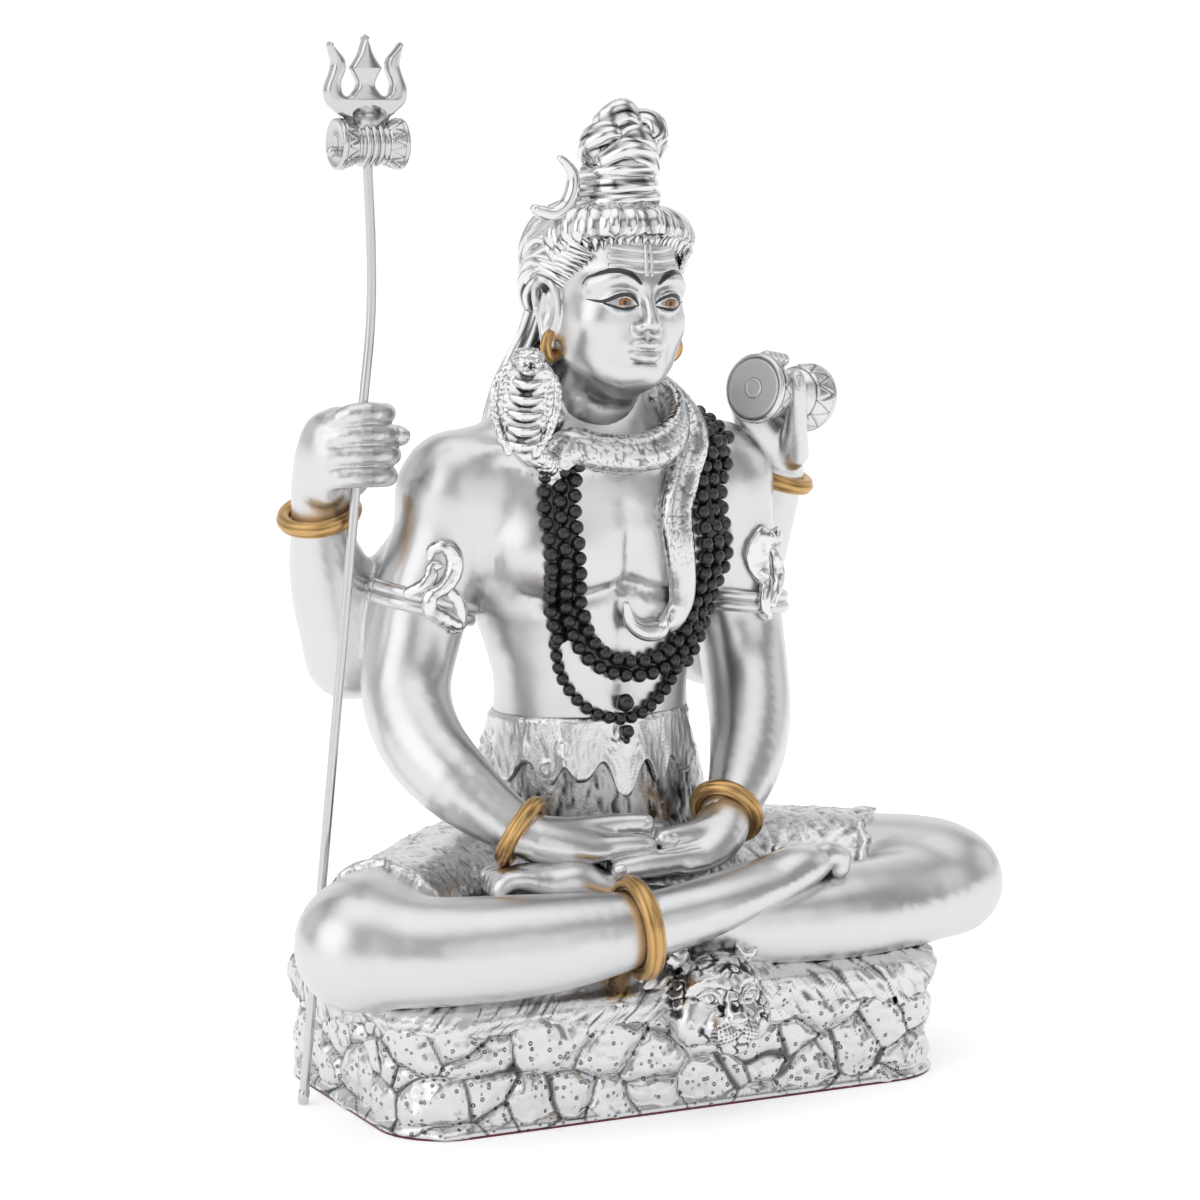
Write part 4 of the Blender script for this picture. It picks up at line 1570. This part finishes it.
def mala(clay):
    """Three strings of beads side by side round the neck, and one more string below them."""
    fine = smooth_path(np.array(MALA, float), 400)
    way = unit(np.gradient(fine, axis=0))
    across = np.stack([-way[:, 1], way[:, 0]], axis=1)  # towards the inside of the loop
    balls = []

    def add(place, normal, radius):
        balls.append(bead(place, normal, radius, len(balls) + 1))

    for row, offset in enumerate((1, 0, -1)):
        line = fine + across * offset * BEAD * 0.98
        run = run_along(line)
        count = int(run[-1] / BEAD)
        at = (np.arange(count) + 0.5 * (row % 2) + 0.25) * run[-1] / count
        flat = upright(at_runs(at, run, line))
        if row == 2:
            flat = flat[outer_shows(flat)]
        for place in drape(clay, seat(flat), 1.5):
            _, slope = clay.read(place[None])
            uneven = 0.05 * (lattice(len(balls) + 1, 3, 3, 2) - 0.5)
            add(place, unit(slope[0]), BEAD / 2 * (1.0 + uneven))
    lower = smooth_path(np.array(LOWER, float), 200)
    run = run_along(lower)
    flat = upright(at_runs(np.arange(0, run[-1], LOWER_PITCH), run, lower))
    for place in drape(clay, seat(flat), 1.3):
        add(place, (0, -1, 0), 1.78)
    for x, z, radius, lift in ((-0.4, 69.4, 2.5, 1.8), (-0.6, 61.8, 1.9, 3.4), (-0.9, 59.4, 1.0, 3.4)):
        add(drape(clay, seat([[x, 0, z]]), lift)[0], (0, -1, 0), radius)
    # over the shoulders and down behind the neck
    for keys in (
            [[-18.5, -6, 136], [-19.5, 2, 141.5], [-18.5, 12, 144.5]],
            [[32, -2, 136.5], [30, 8, 143], [26, 16, 143.8]]):
        line = smooth_path(np.array(keys, float), 200)
        run = run_along(line)
        way = unit(np.gradient(line, axis=0))
        for row, offset in enumerate((-1, 0, 1)):
            # the inner string goes under the snake sooner
            last = run[-1] * (0.45 if offset * keys[0][0] > 0 else 1)
            at = (np.arange(int(last / BEAD)) + 0.5 * (row % 2)) * BEAD
            on, normals = cling(clay, seat(at_runs(at, run, line)), 1.5)
            on = on + np.cross(normals, unit(at_runs(at, run, way))) * offset * BEAD * 0.98
            on, normals = cling(clay, on, 1.5)
            for place, normal in zip(on, normals):
                add(place, normal, BEAD / 2)
    points, faces = gather(balls)
    make("beads", points, faces, BEADS)
    # the dark ground between the beads
    strips = []
    for offset in (-0.55, 0.55):
        flat = upright(fine[::4] + across[::4] * offset * BEAD)
        if offset < 0:
            flat = flat[outer_shows(flat)]
        gaps = np.nonzero(np.linalg.norm(np.diff(flat, axis=0), axis=1) > 12)[0]
        for piece in np.split(flat, gaps + 1):
            if len(piece) > 3:
                on = drape(clay, seat(piece), 0.2)
                strips.append(tube(on, np.tile([2.6, 1.1], (len(on), 1)), 12, side=(0.3, 0, 1)))
    points, faces = gather(strips)
    make("beads_ground", points, faces, BEADS)


# The cloth of tiger skin about the hips and the thighs

THIGH_EDGE = {-1: 69.0, 1: 63.5}


def strokes(points, seed, across=0.85, along=3.4, tilt=(0.12, 0.0, 1.0)):
    """Short combed hairs lying mostly along one direction: about 0 in the gaps and 1 on a hair."""
    way = unit(tilt)
    side = unit(np.cross(way, (0.0, 1.0, 0.0)))
    deep = np.cross(way, side)
    bend = 1.4 * (noise(points, 7.0, seed + 3) - 0.5)
    q = np.stack([(points @ side) + bend, points @ deep, (points @ way)], axis=1)
    fine = noise(q, np.array([across, across * 1.6, along]), seed)
    finer = noise(q, np.array([across * 0.5, across, along * 0.6]), seed + 1)
    return np.clip(0.65 * fine + 0.35 * finer, 0, 1)


def spots(points, seed, spacing=9.0, radius=1.9, width=0.3):
    """The outline of uneven rings scattered on the fur."""
    warped = points + 1.3 * drift(points, 2.6, seed)
    near, _, name = cells(warped, spacing, seed, 0.8)
    return np.exp(-((near * spacing - radius * (0.6 + 0.7 * name)) / width) ** 2)


CLOTH_TOP = 59  # it ends under the waistband


def cloth(within):
    clay = Clay((-94, -46, -4), (92, 47, 62), 0.8)
    clay.limb([
        [0, 17, 10, 34, 27], [0, 17, 22, 34.6, 27.4], [0, 16.5, 38, 33.6, 25.8], [0, 15, 50, 30, 22.2],
        [0, 14, 60, 28, 20.6]], 14, blend=0)
    clay.limb([[x, y, z, a + 0.3, b + 0.3] for x, y, z, a, b in TRUNK if z < 58], 14, blend=2)
    clay.lump((-2, -10, 20), (42, 22, 15), blend=6)
    _, (x, y, z) = clay.window(clay.low, clay.low + 1e3)
    clay.d = np.maximum(clay.d, z - CLOTH_TOP).astype(np.float32)
    for hand in (-1, 1):
        thigh = Clay((-94, -46, -4), (92, 47, 62), 0.8)
        thigh.limb([[x, y, z, a + 1, b + 1] for x, y, z, a, b in THIGHS[hand]], 14, DEEP, blend=0)
        start, end = np.array(THIGHS[hand][0][:2], float), np.array(THIGHS[hand][-1][:2], float)
        way = unit(end - start)
        _, (x, y, z) = thigh.window(thigh.low, thigh.low + 1e3)
        run = (x - start[0]) * way[0] + (y - start[1]) * way[1]
        yz = np.stack(np.broadcast_arrays(0 * y, y, z), axis=-1)
        ragged = (noise(yz, 3.4, 4 + hand) - 0.5) * 4.4 + (noise(yz, 1.5, 9 + hand) - 0.5) * 1.6
        edge = THIGH_EDGE[hand] + ragged
        thigh.d = (thigh.d - 0.9 * np.exp(-(((run - edge + 1.6) / 1.7) ** 2))).astype(np.float32)
        thigh.d = np.maximum(thigh.d, (run - edge)).astype(np.float32)
        clay.join(thigh, 5)
    clay.put_on_rock()
    points, faces, normals = clay.skin()
    lift = 0.55 * (strokes(points, 21) - 0.5) + 0.35 * spots(points, 5)
    x, y, z = points.T - SEAT * np.array([[0], [0], [1]])
    shade = 0.32 * smoothstep(60, 54, z) * smoothstep(20, 28, z) * smoothstep(32, 24, np.abs(x)) * (y < 10)
    hollow = np.clip(0.75 * shut_in(clay, points, normals, 4) + 2.6 * np.clip(-lift, 0, 1) + shade, 0, 1)
    points = points + normals * lift[:, None]
    hidden = buried(points, faces, within, 1.2)
    for label, way in (("right", -1), ("left", 1)):
        keep = []
        for f, h in zip(faces, hidden):
            middle = points[f].mean(1)
            keep.append(~h & (middle[:, 2] > SEAT - 1) & (way * (middle[:, 0] + 1) > 0))
        used, own = part_of(faces, keep)
        make(f"fur_cloth_{label}", points[used], own, FUR, hollow=hollow[used])
    return clay


# tongues of the waist's turned-down hem: direction from the middle in degrees, drop below the hem, width
TONGUES = [
    (-133, 6.5, 9), (-114, 5.0, 9), (-91, 10.5, 8.5), (-69, 7.5, 7.5), (-48, 6, 9), (-22, 8, 9),
    (4, 5.5, 10), (30, 8, 9), (55, 6, 9), (80, 8.5, 9), (106, 6, 9), (130, 8, 9), (153, 5.5, 9),
    (176, 7.5, 9), (201, 6, 9)]
HEM = 53.5
BAND_TOP = 65.6


def waistband():
    around, rows = 400, 38
    turn = turns(around)
    hem = np.full(around, HEM)
    for at, drop, wide in TONGUES:
        gap = (np.degrees(turn) - at + 180) % 360 - 180
        along = np.radians(gap) * 25
        hem -= drop * np.exp(-(np.abs(along) / (wide * 0.36)) ** 3)
    layers = []
    darks = []
    for inner in (False, True):
        share = np.linspace(1, 0, 12)[:, None] if inner else np.linspace(0, 1, rows)[:, None]
        z = BAND_TOP + (hem[None, :] - BAND_TOP) * share
        grow = 1.0 + 2.6 * share**1.4 - (1.5 * np.ones_like(share) if inner else 0)
        wavy = 0.8 * share * np.sin(turn * 9 + 1.3)[None, :]
        x = -0.6 + (27.8 + grow + wavy) * np.cos(turn)
        y = 14 + (20.6 + grow + wavy) * np.sin(turn)
        layer = np.stack([x, y, z + 0 * x], axis=-1)
        flat = layer.reshape(-1, 3)
        if inner:
            darks.append(np.full(len(flat), 0.8))
        else:
            lift = 0.5 * (strokes(flat, 31, tilt=(0.08, 0, 1)) - 0.5) + 0.35 * spots(flat, 8, 8.0, 1.9, 0.28)
            round_off = -0.9 * smoothstep(0.93, 1.0, share) - 0.7 * (1 - smoothstep(0.0, 0.08, share))
            out = np.stack([np.cos(turn), np.sin(turn), 0 * turn], axis=-1)[None]
            layer = layer + out * (lift.reshape(rows, around) + round_off)[..., None]
            darks.append(np.clip(-2.0 * lift, 0, 1))
        layers.append(layer)
    whole = np.concatenate(layers)
    faces = grid_faces(len(whole), around, closed=True)
    make("waistband", seat(whole.reshape(-1, 3)), faces[:, ::-1], FUR, hollow=np.concatenate(darks))


# The rock and the tiger skin over it


def felt():
    material, surface, add, join = shader("felt_red")
    where = add("ShaderNodeTexCoord")
    fibres = add("ShaderNodeTexNoise", Scale=1400.0, Detail=8.0)
    join(where, "Object", fibres, "Vector")
    tone = ramp(add, [(0.3, (0.06, 0.008, 0.012)), (0.75, (0.19, 0.025, 0.035))])
    join(fibres, "Fac", tone, "Fac")
    join(tone, "Color", surface, "Base Color")
    surface.inputs["Roughness"].default_value = 0.95
    surface.inputs["Sheen Weight"].default_value = 0.4
    bump = add("ShaderNodeBump", Strength=0.6, Distance=0.0003)
    join(fibres, "Fac", bump, "Height")
    join(bump, 0, surface, "Normal")
    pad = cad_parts["base_pad"]
    pad.data.materials.clear()
    pad.data.materials.append(material)


BASE_WIDTH, BASE_DEPTH, BASE_HEIGHT, BASE_CORNER = 167.0, 96.0, 34.0, 20.0
WALL_INSET = 3.0
STONE_SIZE = 16.5


def wall_outline(spacing):
    """Points of the rock's outline an even distance apart, and the outward directions, counter-clockwise."""
    x, y = BASE_WIDTH / 2 - BASE_CORNER, BASE_DEPTH / 2 - BASE_CORNER
    r = BASE_CORNER - WALL_INSET
    corners, outs = [], []
    for cx, cy, first in ((x, -y, -90), (x, y, 0), (-x, y, 90), (-x, -y, 180)):
        for angle in np.radians(np.linspace(first, first + 90, 40)):
            corners.append([cx + r * math.cos(angle), cy + r * math.sin(angle)])
            outs.append([math.cos(angle), math.sin(angle)])
    corners.append(corners[0])
    outs.append(outs[0])
    corners, outs = np.array(corners), np.array(outs)
    run = run_along(corners)
    count = int(run[-1] / spacing)
    at = np.arange(count) * run[-1] / count
    return at_runs(at, run, corners), unit(at_runs(at, run, outs)), at


def stone_relief(points):
    """How far the rock stands out of its joints, and how deep the joints are."""
    warped = points + 2.4 * drift(points, 6.0, 60)
    q = warped * np.array([1, 1, 1.3])
    near, second, name = cells(q, STONE_SIZE, 5, 0.85)
    edge = (second - near) * STONE_SIZE / 2  # about the distance to the middle of the joint
    face = 1 - np.exp(-edge / 1.7)
    lumps = noise(points, 5.5, 71) - 0.5 + 0.5 * (noise(points, 2.6, 72) - 0.5)
    rough = noise(points, 1.1, 75) - 0.5
    out = -0.6 + 2.7 * face + 1.5 * (name - 0.5) * face + 2.3 * lumps * face + 0.35 * rough
    return out, 0.82 * smoothstep(0.65, 0.1, edge)


def skin_edge(run):
    """How low the tiger skin hangs at each run along the outline."""
    q = np.stack([run, 0 * run, 0 * run], axis=1)
    return BASE_HEIGHT - 4.5 - 7.0 * noise(q, 24.0, 91) - 2.6 * noise(q, 7.0, 92) - 1.2 * noise(q, 1.5, 93)


def rock():
    place, out, run = wall_outline(0.6)
    rows = 56
    heights = np.linspace(0.55, BASE_HEIGHT - 1.6, rows)
    base = np.stack(np.broadcast_arrays(place[None, :, 0], place[None, :, 1], heights[:, None]), axis=-1)
    relief, dark = stone_relief(base.reshape(-1, 3))
    relief = relief.reshape(rows, -1)
    lean = -0.7 * (1 - heights[:, None] / BASE_HEIGHT) ** 2 - 0.1
    low = smoothstep(5.0, 1.0, heights[:, None])
    away = np.clip(relief + lean, -1.6 + 3.0 * low, 2.95)
    away[0] -= 0.3
    away[-1] -= 2.0
    points = base + np.concatenate([out, np.zeros((len(run), 1))], axis=1)[None] * away[..., None]
    flat = points.reshape(-1, 3)
    faces = [grid_faces(rows, len(run)), *fans(len(flat), len(run), rows)]
    flat = np.concatenate([flat, [[0, 0, heights[0]], [0, 0, heights[-1]]]])
    make("rock", flat, faces, STONE, hollow=np.concatenate([dark, [0, 0]]))


TIGER_AT = np.array([5.4, -48.0, BASE_HEIGHT - 3])
TIGER_TURN = np.array(euler((-12, 0, 0)))


def tiger_skin(legs_clay):
    place, out, run = wall_outline(0.66)
    count = len(run)
    edge = skin_edge(run)
    # how far out and how high each row runs, and its kind: 0 on the top, 1 on the wall and 2 under the edge
    rows, kinds = [], []

    def add(away, height, kind):
        rows.append(np.broadcast_arrays(away, height + np.zeros(count)))
        kinds.append(kind)

    for inset in (30, 24, 19, 15, 12, *np.arange(10.2, 0.2, -0.6)):
        level = BASE_HEIGHT + 0.15 - 0.35 * (inset < 3) * (3 - inset) / 3
        most = 10.0 * smoothstep(-1.0, 9.0, inset) * smoothstep(4.0, -24.0, place[:, 1])
        rise = np.zeros(count)
        for _ in range(5):  # up until it meets the legs
            d, _ = legs_clay.read(np.column_stack([place - out * inset, level + rise]))
            rise = np.minimum(rise + 0.9 * np.clip(d, 0, 3), most)
        add(-inset, level + rise, 0)
    for angle in np.radians([20, 45, 70, 90]):
        add(2.0 * math.sin(angle), BASE_HEIGHT - 0.2 - 2.2 * (1 - math.cos(angle)), 0)
    steps = 26
    start = BASE_HEIGHT - 2.4
    for k in range(1, steps + 1):
        t = k / steps
        add(2.0 + 0.7 * math.sin(math.pi * min(1, 1.4 * t)) - 0.9 * t**2, start + (edge - start) * t, 1)
    for t, inward in ((0.99, 0.4), (0.9, -0.4), (0.5, -0.8)):
        add(inward, start + (edge - start) * t, 2)
    away, height = np.transpose(rows, (1, 0, 2))
    base = np.concatenate([place[None] + out[None] * away[..., None], height[..., None]], axis=-1)
    flat = base.reshape(-1, 3)
    # hairs lie outwards and down: measured in run and distance along the row
    steps_down = np.linalg.norm(np.diff(base, axis=0), axis=2)
    down = np.cumsum(np.concatenate([np.zeros((1, count)), steps_down]), axis=0)
    rising = np.gradient(place[:, 0])  # which way the outline runs along x
    # hairs part at the head
    part = np.clip((TIGER_AT[0] - place[:, 0]) / 8, -1, 1) * np.clip(rising / 0.3, -1, 1)
    across = run[None] + 0.8 * part[None] * down
    q = np.stack([across.ravel() + 2.2 * noise(flat, 9.0, 97), 0 * down.ravel(), down.ravel()], axis=1)
    hairs = 0.6 * noise(q, np.array([1.1, 1, 6.0]), 101) + 0.4 * noise(q, np.array([0.7, 1, 3.5]), 102)
    lift = 1.1 * (hairs - 0.5) + 1.0 * (noise(q, np.array([6.0, 1, 14.0]), 103) - 0.5)
    lift = lift.reshape(away.shape)
    outward = np.zeros((*away.shape, 3))
    outward[..., :2] = out
    tilt = np.clip((away + 3) / 5, 0, 1)[..., None]
    normal = unit(outward * tilt + np.array([0, 0, 1.0]) * (1 - tilt))
    fade = np.array([1.0 if k < 2 else 0.0 for k in kinds])[:, None]
    fade = fade * np.clip((away + 26) / 12, 0, 1)
    points = base + normal * (lift * fade)[..., None]
    limit = np.clip(away + lift, None, 3.15) - (away + lift)
    points = points + outward * (limit * fade * tilt[..., 0])[..., None]
    faces = grid_faces(len(rows), count)[:, ::-1]
    middle = len(flat)
    k = np.arange(count)
    fan = np.stack([np.full(count, middle), k, (k + 1) % count], axis=1)
    points = np.concatenate([points.reshape(-1, 3), [[0, 0, BASE_HEIGHT + 3]]])
    dark = np.clip(3.2 * (0.48 - hairs), 0, 0.75)
    dark = np.where(np.repeat(kinds, count) == 2, 0.9, dark)
    make("tiger_skin", points, [faces, fan], FUR, hollow=np.concatenate([dark, [0]]))


def tiger_head():
    clay = Clay((-29, -18, -21), (29, 17, 18), 0.42)
    clay.lump((0, 1.5, -1), (13, 10, 12.2), blend=0)
    clay.lump((0, 8, 2), (27, 7.5, 9.5), blend=4)  # the hide heaped behind the head
    clay.lump((0, -4.8, 3.8), (10, 5.6, 7), blend=3.5)  # forehead
    clay.lump((0, -7.6, -8.4), (7, 5.6, 5), blend=3)  # muzzle
    for hand in (-1, 1):
        clay.lump((hand * 9.4, -3, -6.2), (4.8, 5, 6.6), blend=4)  # cheek
        clay.lump((hand * 3.2, -11.2, -9.8), (3.3, 2.6, 2.7), blend=1.2)  # whisker pad
        clay.lump((hand * 10.4, -0.8, 12), (3.9, 2.5, 4.3), (0, hand * 16, 0), blend=1.0)  # ear
        clay.lump((hand * 10.3, -3.3, 12.4), (2.4, 1.5, 2.7), (0, hand * 16, 0), blend=0.4, cut=True)
        clay.limb(sided(hand, [[9.9, -1.4, 10, 0.8], [10.5, -1.6, 12.4, 0.6]]), 4, blend=0.4)
        # eye and its socket
        clay.lump((hand * 5.7, -10.2, -0.4), (2.8, 1.7, 1.9), (0, hand * -14, 0), blend=0.8, cut=True)
        clay.lump((hand * 5.7, -8.3, -0.4), (1.6, 1.5, 1.35), blend=0.2)
        clay.lump((hand * 5.6, -9.9, -0.4), (0.5, 0.7, 0.6), blend=0.1, cut=True)
        clay.limb(sided(hand, [
            [2.9, -10.3, -2.0, 0.4], [4.8, -10.1, 1.1, 0.55], [7.2, -9.3, 1.2, 0.5], [8.9, -7.6, 0, 0.35]]),
            8, blend=0.3)
        clay.limb(sided(hand, [
            [3.6, -9.4, -2.2, 0.35], [5.8, -9.3, -2.4, 0.45], [8.6, -7.8, -0.8, 0.35]]), 8, blend=0.3)
        clay.limb(sided(hand, [[2.4, -9.8, 3, 1.2], [6, -9, 4, 1.2], [9.4, -6.4, 2.8, 0.8]]), 8, blend=1.2)
        clay.limb(sided(hand, [
            [1.5, -13.9, -7.2, 0.4], [2.3, -13.4, -6.4, 0.4]]), 4, blend=0.2, cut=True)  # nostril
        clay.limb(sided(hand, [[0, -13.4, -10.2, 0.35], [3, -13.2, -12.2, 0.45], [6.6, -10, -11.6, 0.35]]),
            8, blend=0.3, cut=True)
    clay.limb([[0, -9.4, 5.4, 3.2, 2], [0, -10.6, -0.6, 3, 2], [0, -12, -5, 2.7, 2]], 8, blend=1.6)  # bridge
    clay.lump((0, -13, -6.2), (2.7, 1.3, 1.35), blend=0.4)
    clay.limb([[0, -14, -7.6, 0.3], [0, -13.6, -10.4, 0.4]], 4, blend=0.3, cut=True)
    clay.lump((0, -8.6, -13.2), (4.4, 3.6, 2.6), blend=1.2)  # chin
    points, faces, normals = clay.skin()
    x, y, z = points.T
    pad = smoothstep(3.4, 2.8, np.hypot(np.abs(x) - 3.8, 1.1 * (z + 9.9))) * (y < -8)
    plain = np.maximum(pad, smoothstep(3.0, 2.2, np.hypot(np.abs(x) - 5.7, z + 0.4)) * (y < -6))
    plain = np.maximum(plain, smoothstep(2.9, 2.2, np.hypot(x, 1.3 * (z + 6.4))) * (y < -9))
    mask = smoothstep(3.0, 0.5, y + 0.1 * np.abs(x))
    warped = points + 1.2 * drift(points, 2.4, 50)
    near, second, _ = cells(warped * (1.0, 0.7, 1.25), 3.3, 33, 0.9)
    gap = smoothstep(0.26, 0.08, second - near) * smoothstep(0.42, 0.55, noise(points, 3.4, 36))
    gap = gap * mask * (1 - plain)
    from_dot = np.hypot((np.abs(x) - 3.8) % 1.05 - 0.5, (z + 0.3 * np.abs(x)) % 1.15 - 0.55)
    dots = pad * smoothstep(0.42, 0.25, from_dot)
    right, left = (
        strokes(points, seed, 0.8, 3.4, (lean, 0.2, 0.6)) for seed, lean in ((41, 0.75), (42, -0.75)))
    fur = np.where(x < 0, right, left) - 0.5
    lift = 0.2 - 0.5 * gap - 0.35 * dots + fur * np.where(y > 0, 0.9, 0.2) * (1 - plain)
    hollow = 0.2 * shut_in(clay, points, normals, 2.0) + 0.75 * gap + 0.8 * dots
    hollow = hollow + 0.9 * np.clip(-fur, 0, 1) * (y > 1)
    points = (points + normals * lift[:, None]) @ TIGER_TURN.T + TIGER_AT
    make("tiger_head", points, faces, CARVED, hollow=np.clip(hollow, 0, 0.9))


body_clay = body()
legs_clay = legs()
cloth_clay = cloth((body_clay, legs_clay))
clay_pieces("body", body_clay, split=by_side, within=(cloth_clay,), above=SEAT)
clay_pieces("legs", legs_clay, split=by_side, within=(cloth_clay, body_clay))
head_clay = head()
painted_face(head_clay)
hair()
topknot()
crescent()
lap_hands()
feet(legs_clay)
fist()
drum_hand()
nails()
bangles()
armlets()
hand_drum()
trident()
snake(body_clay)
hood()
mala(body_clay)
waistband()
rock()
tiger_skin(legs_clay)
tiger_head()
felt()
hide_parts("figure")


# The stage

TARGET = Vector((-0.004, 0.0, 0.1306))
CAMERA_DISTANCE = 0.973
CAMERA_AZIMUTH = -26.4
CAMERA_ELEVATION = 7.6
LENS = 108.0


def camera():
    back = towards(CAMERA_AZIMUTH, CAMERA_ELEVATION)
    data = bpy.data.cameras.new("camera")
    data.lens = LENS
    data.sensor_width = 36.0
    data.clip_start = 0.01
    data.clip_end = 20.0
    seen = bpy.data.objects.new("camera", data)
    seen.location = TARGET + back * CAMERA_DISTANCE
    seen.rotation_euler = back.to_track_quat("Z", "Y").to_euler()
    bpy.context.scene.collection.objects.link(seen)
    bpy.context.scene.camera = seen


# the studio's white boards: azimuth, elevation, where each is full and where it ends, and its level
BOARDS = [
    (-76, 28, 16, 44, 1.5), (8, 16, 12, 32, 1.0), (0, 86, 18, 46, 1.25), (86, 24, 8, 26, 0.95),
    (-142, 22, 8, 26, 0.8), (153.6, 6, 26, 58, 1.0)]
DUSK = 0.27  # how bright the studio is between them
HAZE = 1.06  # and along the horizon


def towards(azimuth, elevation):
    a, e = math.radians(azimuth), math.radians(elevation)
    return Vector((math.sin(a) * math.cos(e), -math.cos(a) * math.cos(e), math.sin(e)))


def studio():
    world = bpy.data.worlds.new("studio")
    world.use_nodes = True
    nodes, links = world.node_tree.nodes, world.node_tree.links
    where = nodes.new("ShaderNodeTexCoord")
    split = nodes.new("ShaderNodeSeparateXYZ")
    links.new(where.outputs["Generated"], split.inputs[0])

    def fade(source, low, high, top):
        node = nodes.new("ShaderNodeMapRange")
        node.interpolation_type = "SMOOTHSTEP"
        node.inputs["From Min"].default_value = low
        node.inputs["From Max"].default_value = high
        node.inputs["To Max"].default_value = top
        links.new(source, node.inputs["Value"])
        return node.outputs[0]

    level = fade(split.outputs["Z"], 0.16, 0.03, HAZE - DUSK)
    for azimuth, elevation, full, end, bright in BOARDS:
        facing = nodes.new("ShaderNodeVectorMath")
        facing.operation = "DOT_PRODUCT"
        facing.inputs[1].default_value = towards(azimuth, elevation)
        links.new(where.outputs["Generated"], facing.inputs[0])
        board = fade(
            facing.outputs["Value"], math.cos(math.radians(end)), math.cos(math.radians(full)), bright - DUSK)
        most = nodes.new("ShaderNodeMath")
        most.operation = "MAXIMUM"
        links.new(level, most.inputs[0])
        links.new(board, most.inputs[1])
        level = most.outputs[0]
    total = nodes.new("ShaderNodeMath")
    total.inputs[1].default_value = DUSK
    links.new(level, total.inputs[0])
    links.new(total.outputs[0], nodes["Background"].inputs["Strength"])
    nodes["Background"].inputs["Color"].default_value = (1, 1, 1, 1)
    bpy.context.scene.world = world


def stage():
    mesh = bpy.data.meshes.new("floor")
    ring = [(6 * math.cos(t), 6 * math.sin(t), 0) for t in np.linspace(0, 2 * math.pi, 97)[:-1]]
    mesh.from_pydata([(0, 0, 0), *ring], [], [(0, 1 + k, 1 + (k + 1) % 96) for k in range(96)])
    floor = bpy.data.objects.new("floor", mesh)
    bpy.context.scene.collection.objects.link(floor)
    material, surface, _, _ = shader("floor_paper")
    surface.inputs["Base Color"].default_value = (0.92, 0.92, 0.92, 1)
    surface.inputs["Roughness"].default_value = 0.8
    surface.inputs["Emission Color"].default_value = (1, 1, 1, 1)
    surface.inputs["Emission Strength"].default_value = 0.36
    mesh.materials.append(material)
    bpy.context.scene.view_settings.view_transform = "Standard"


camera()
studio()
stage()
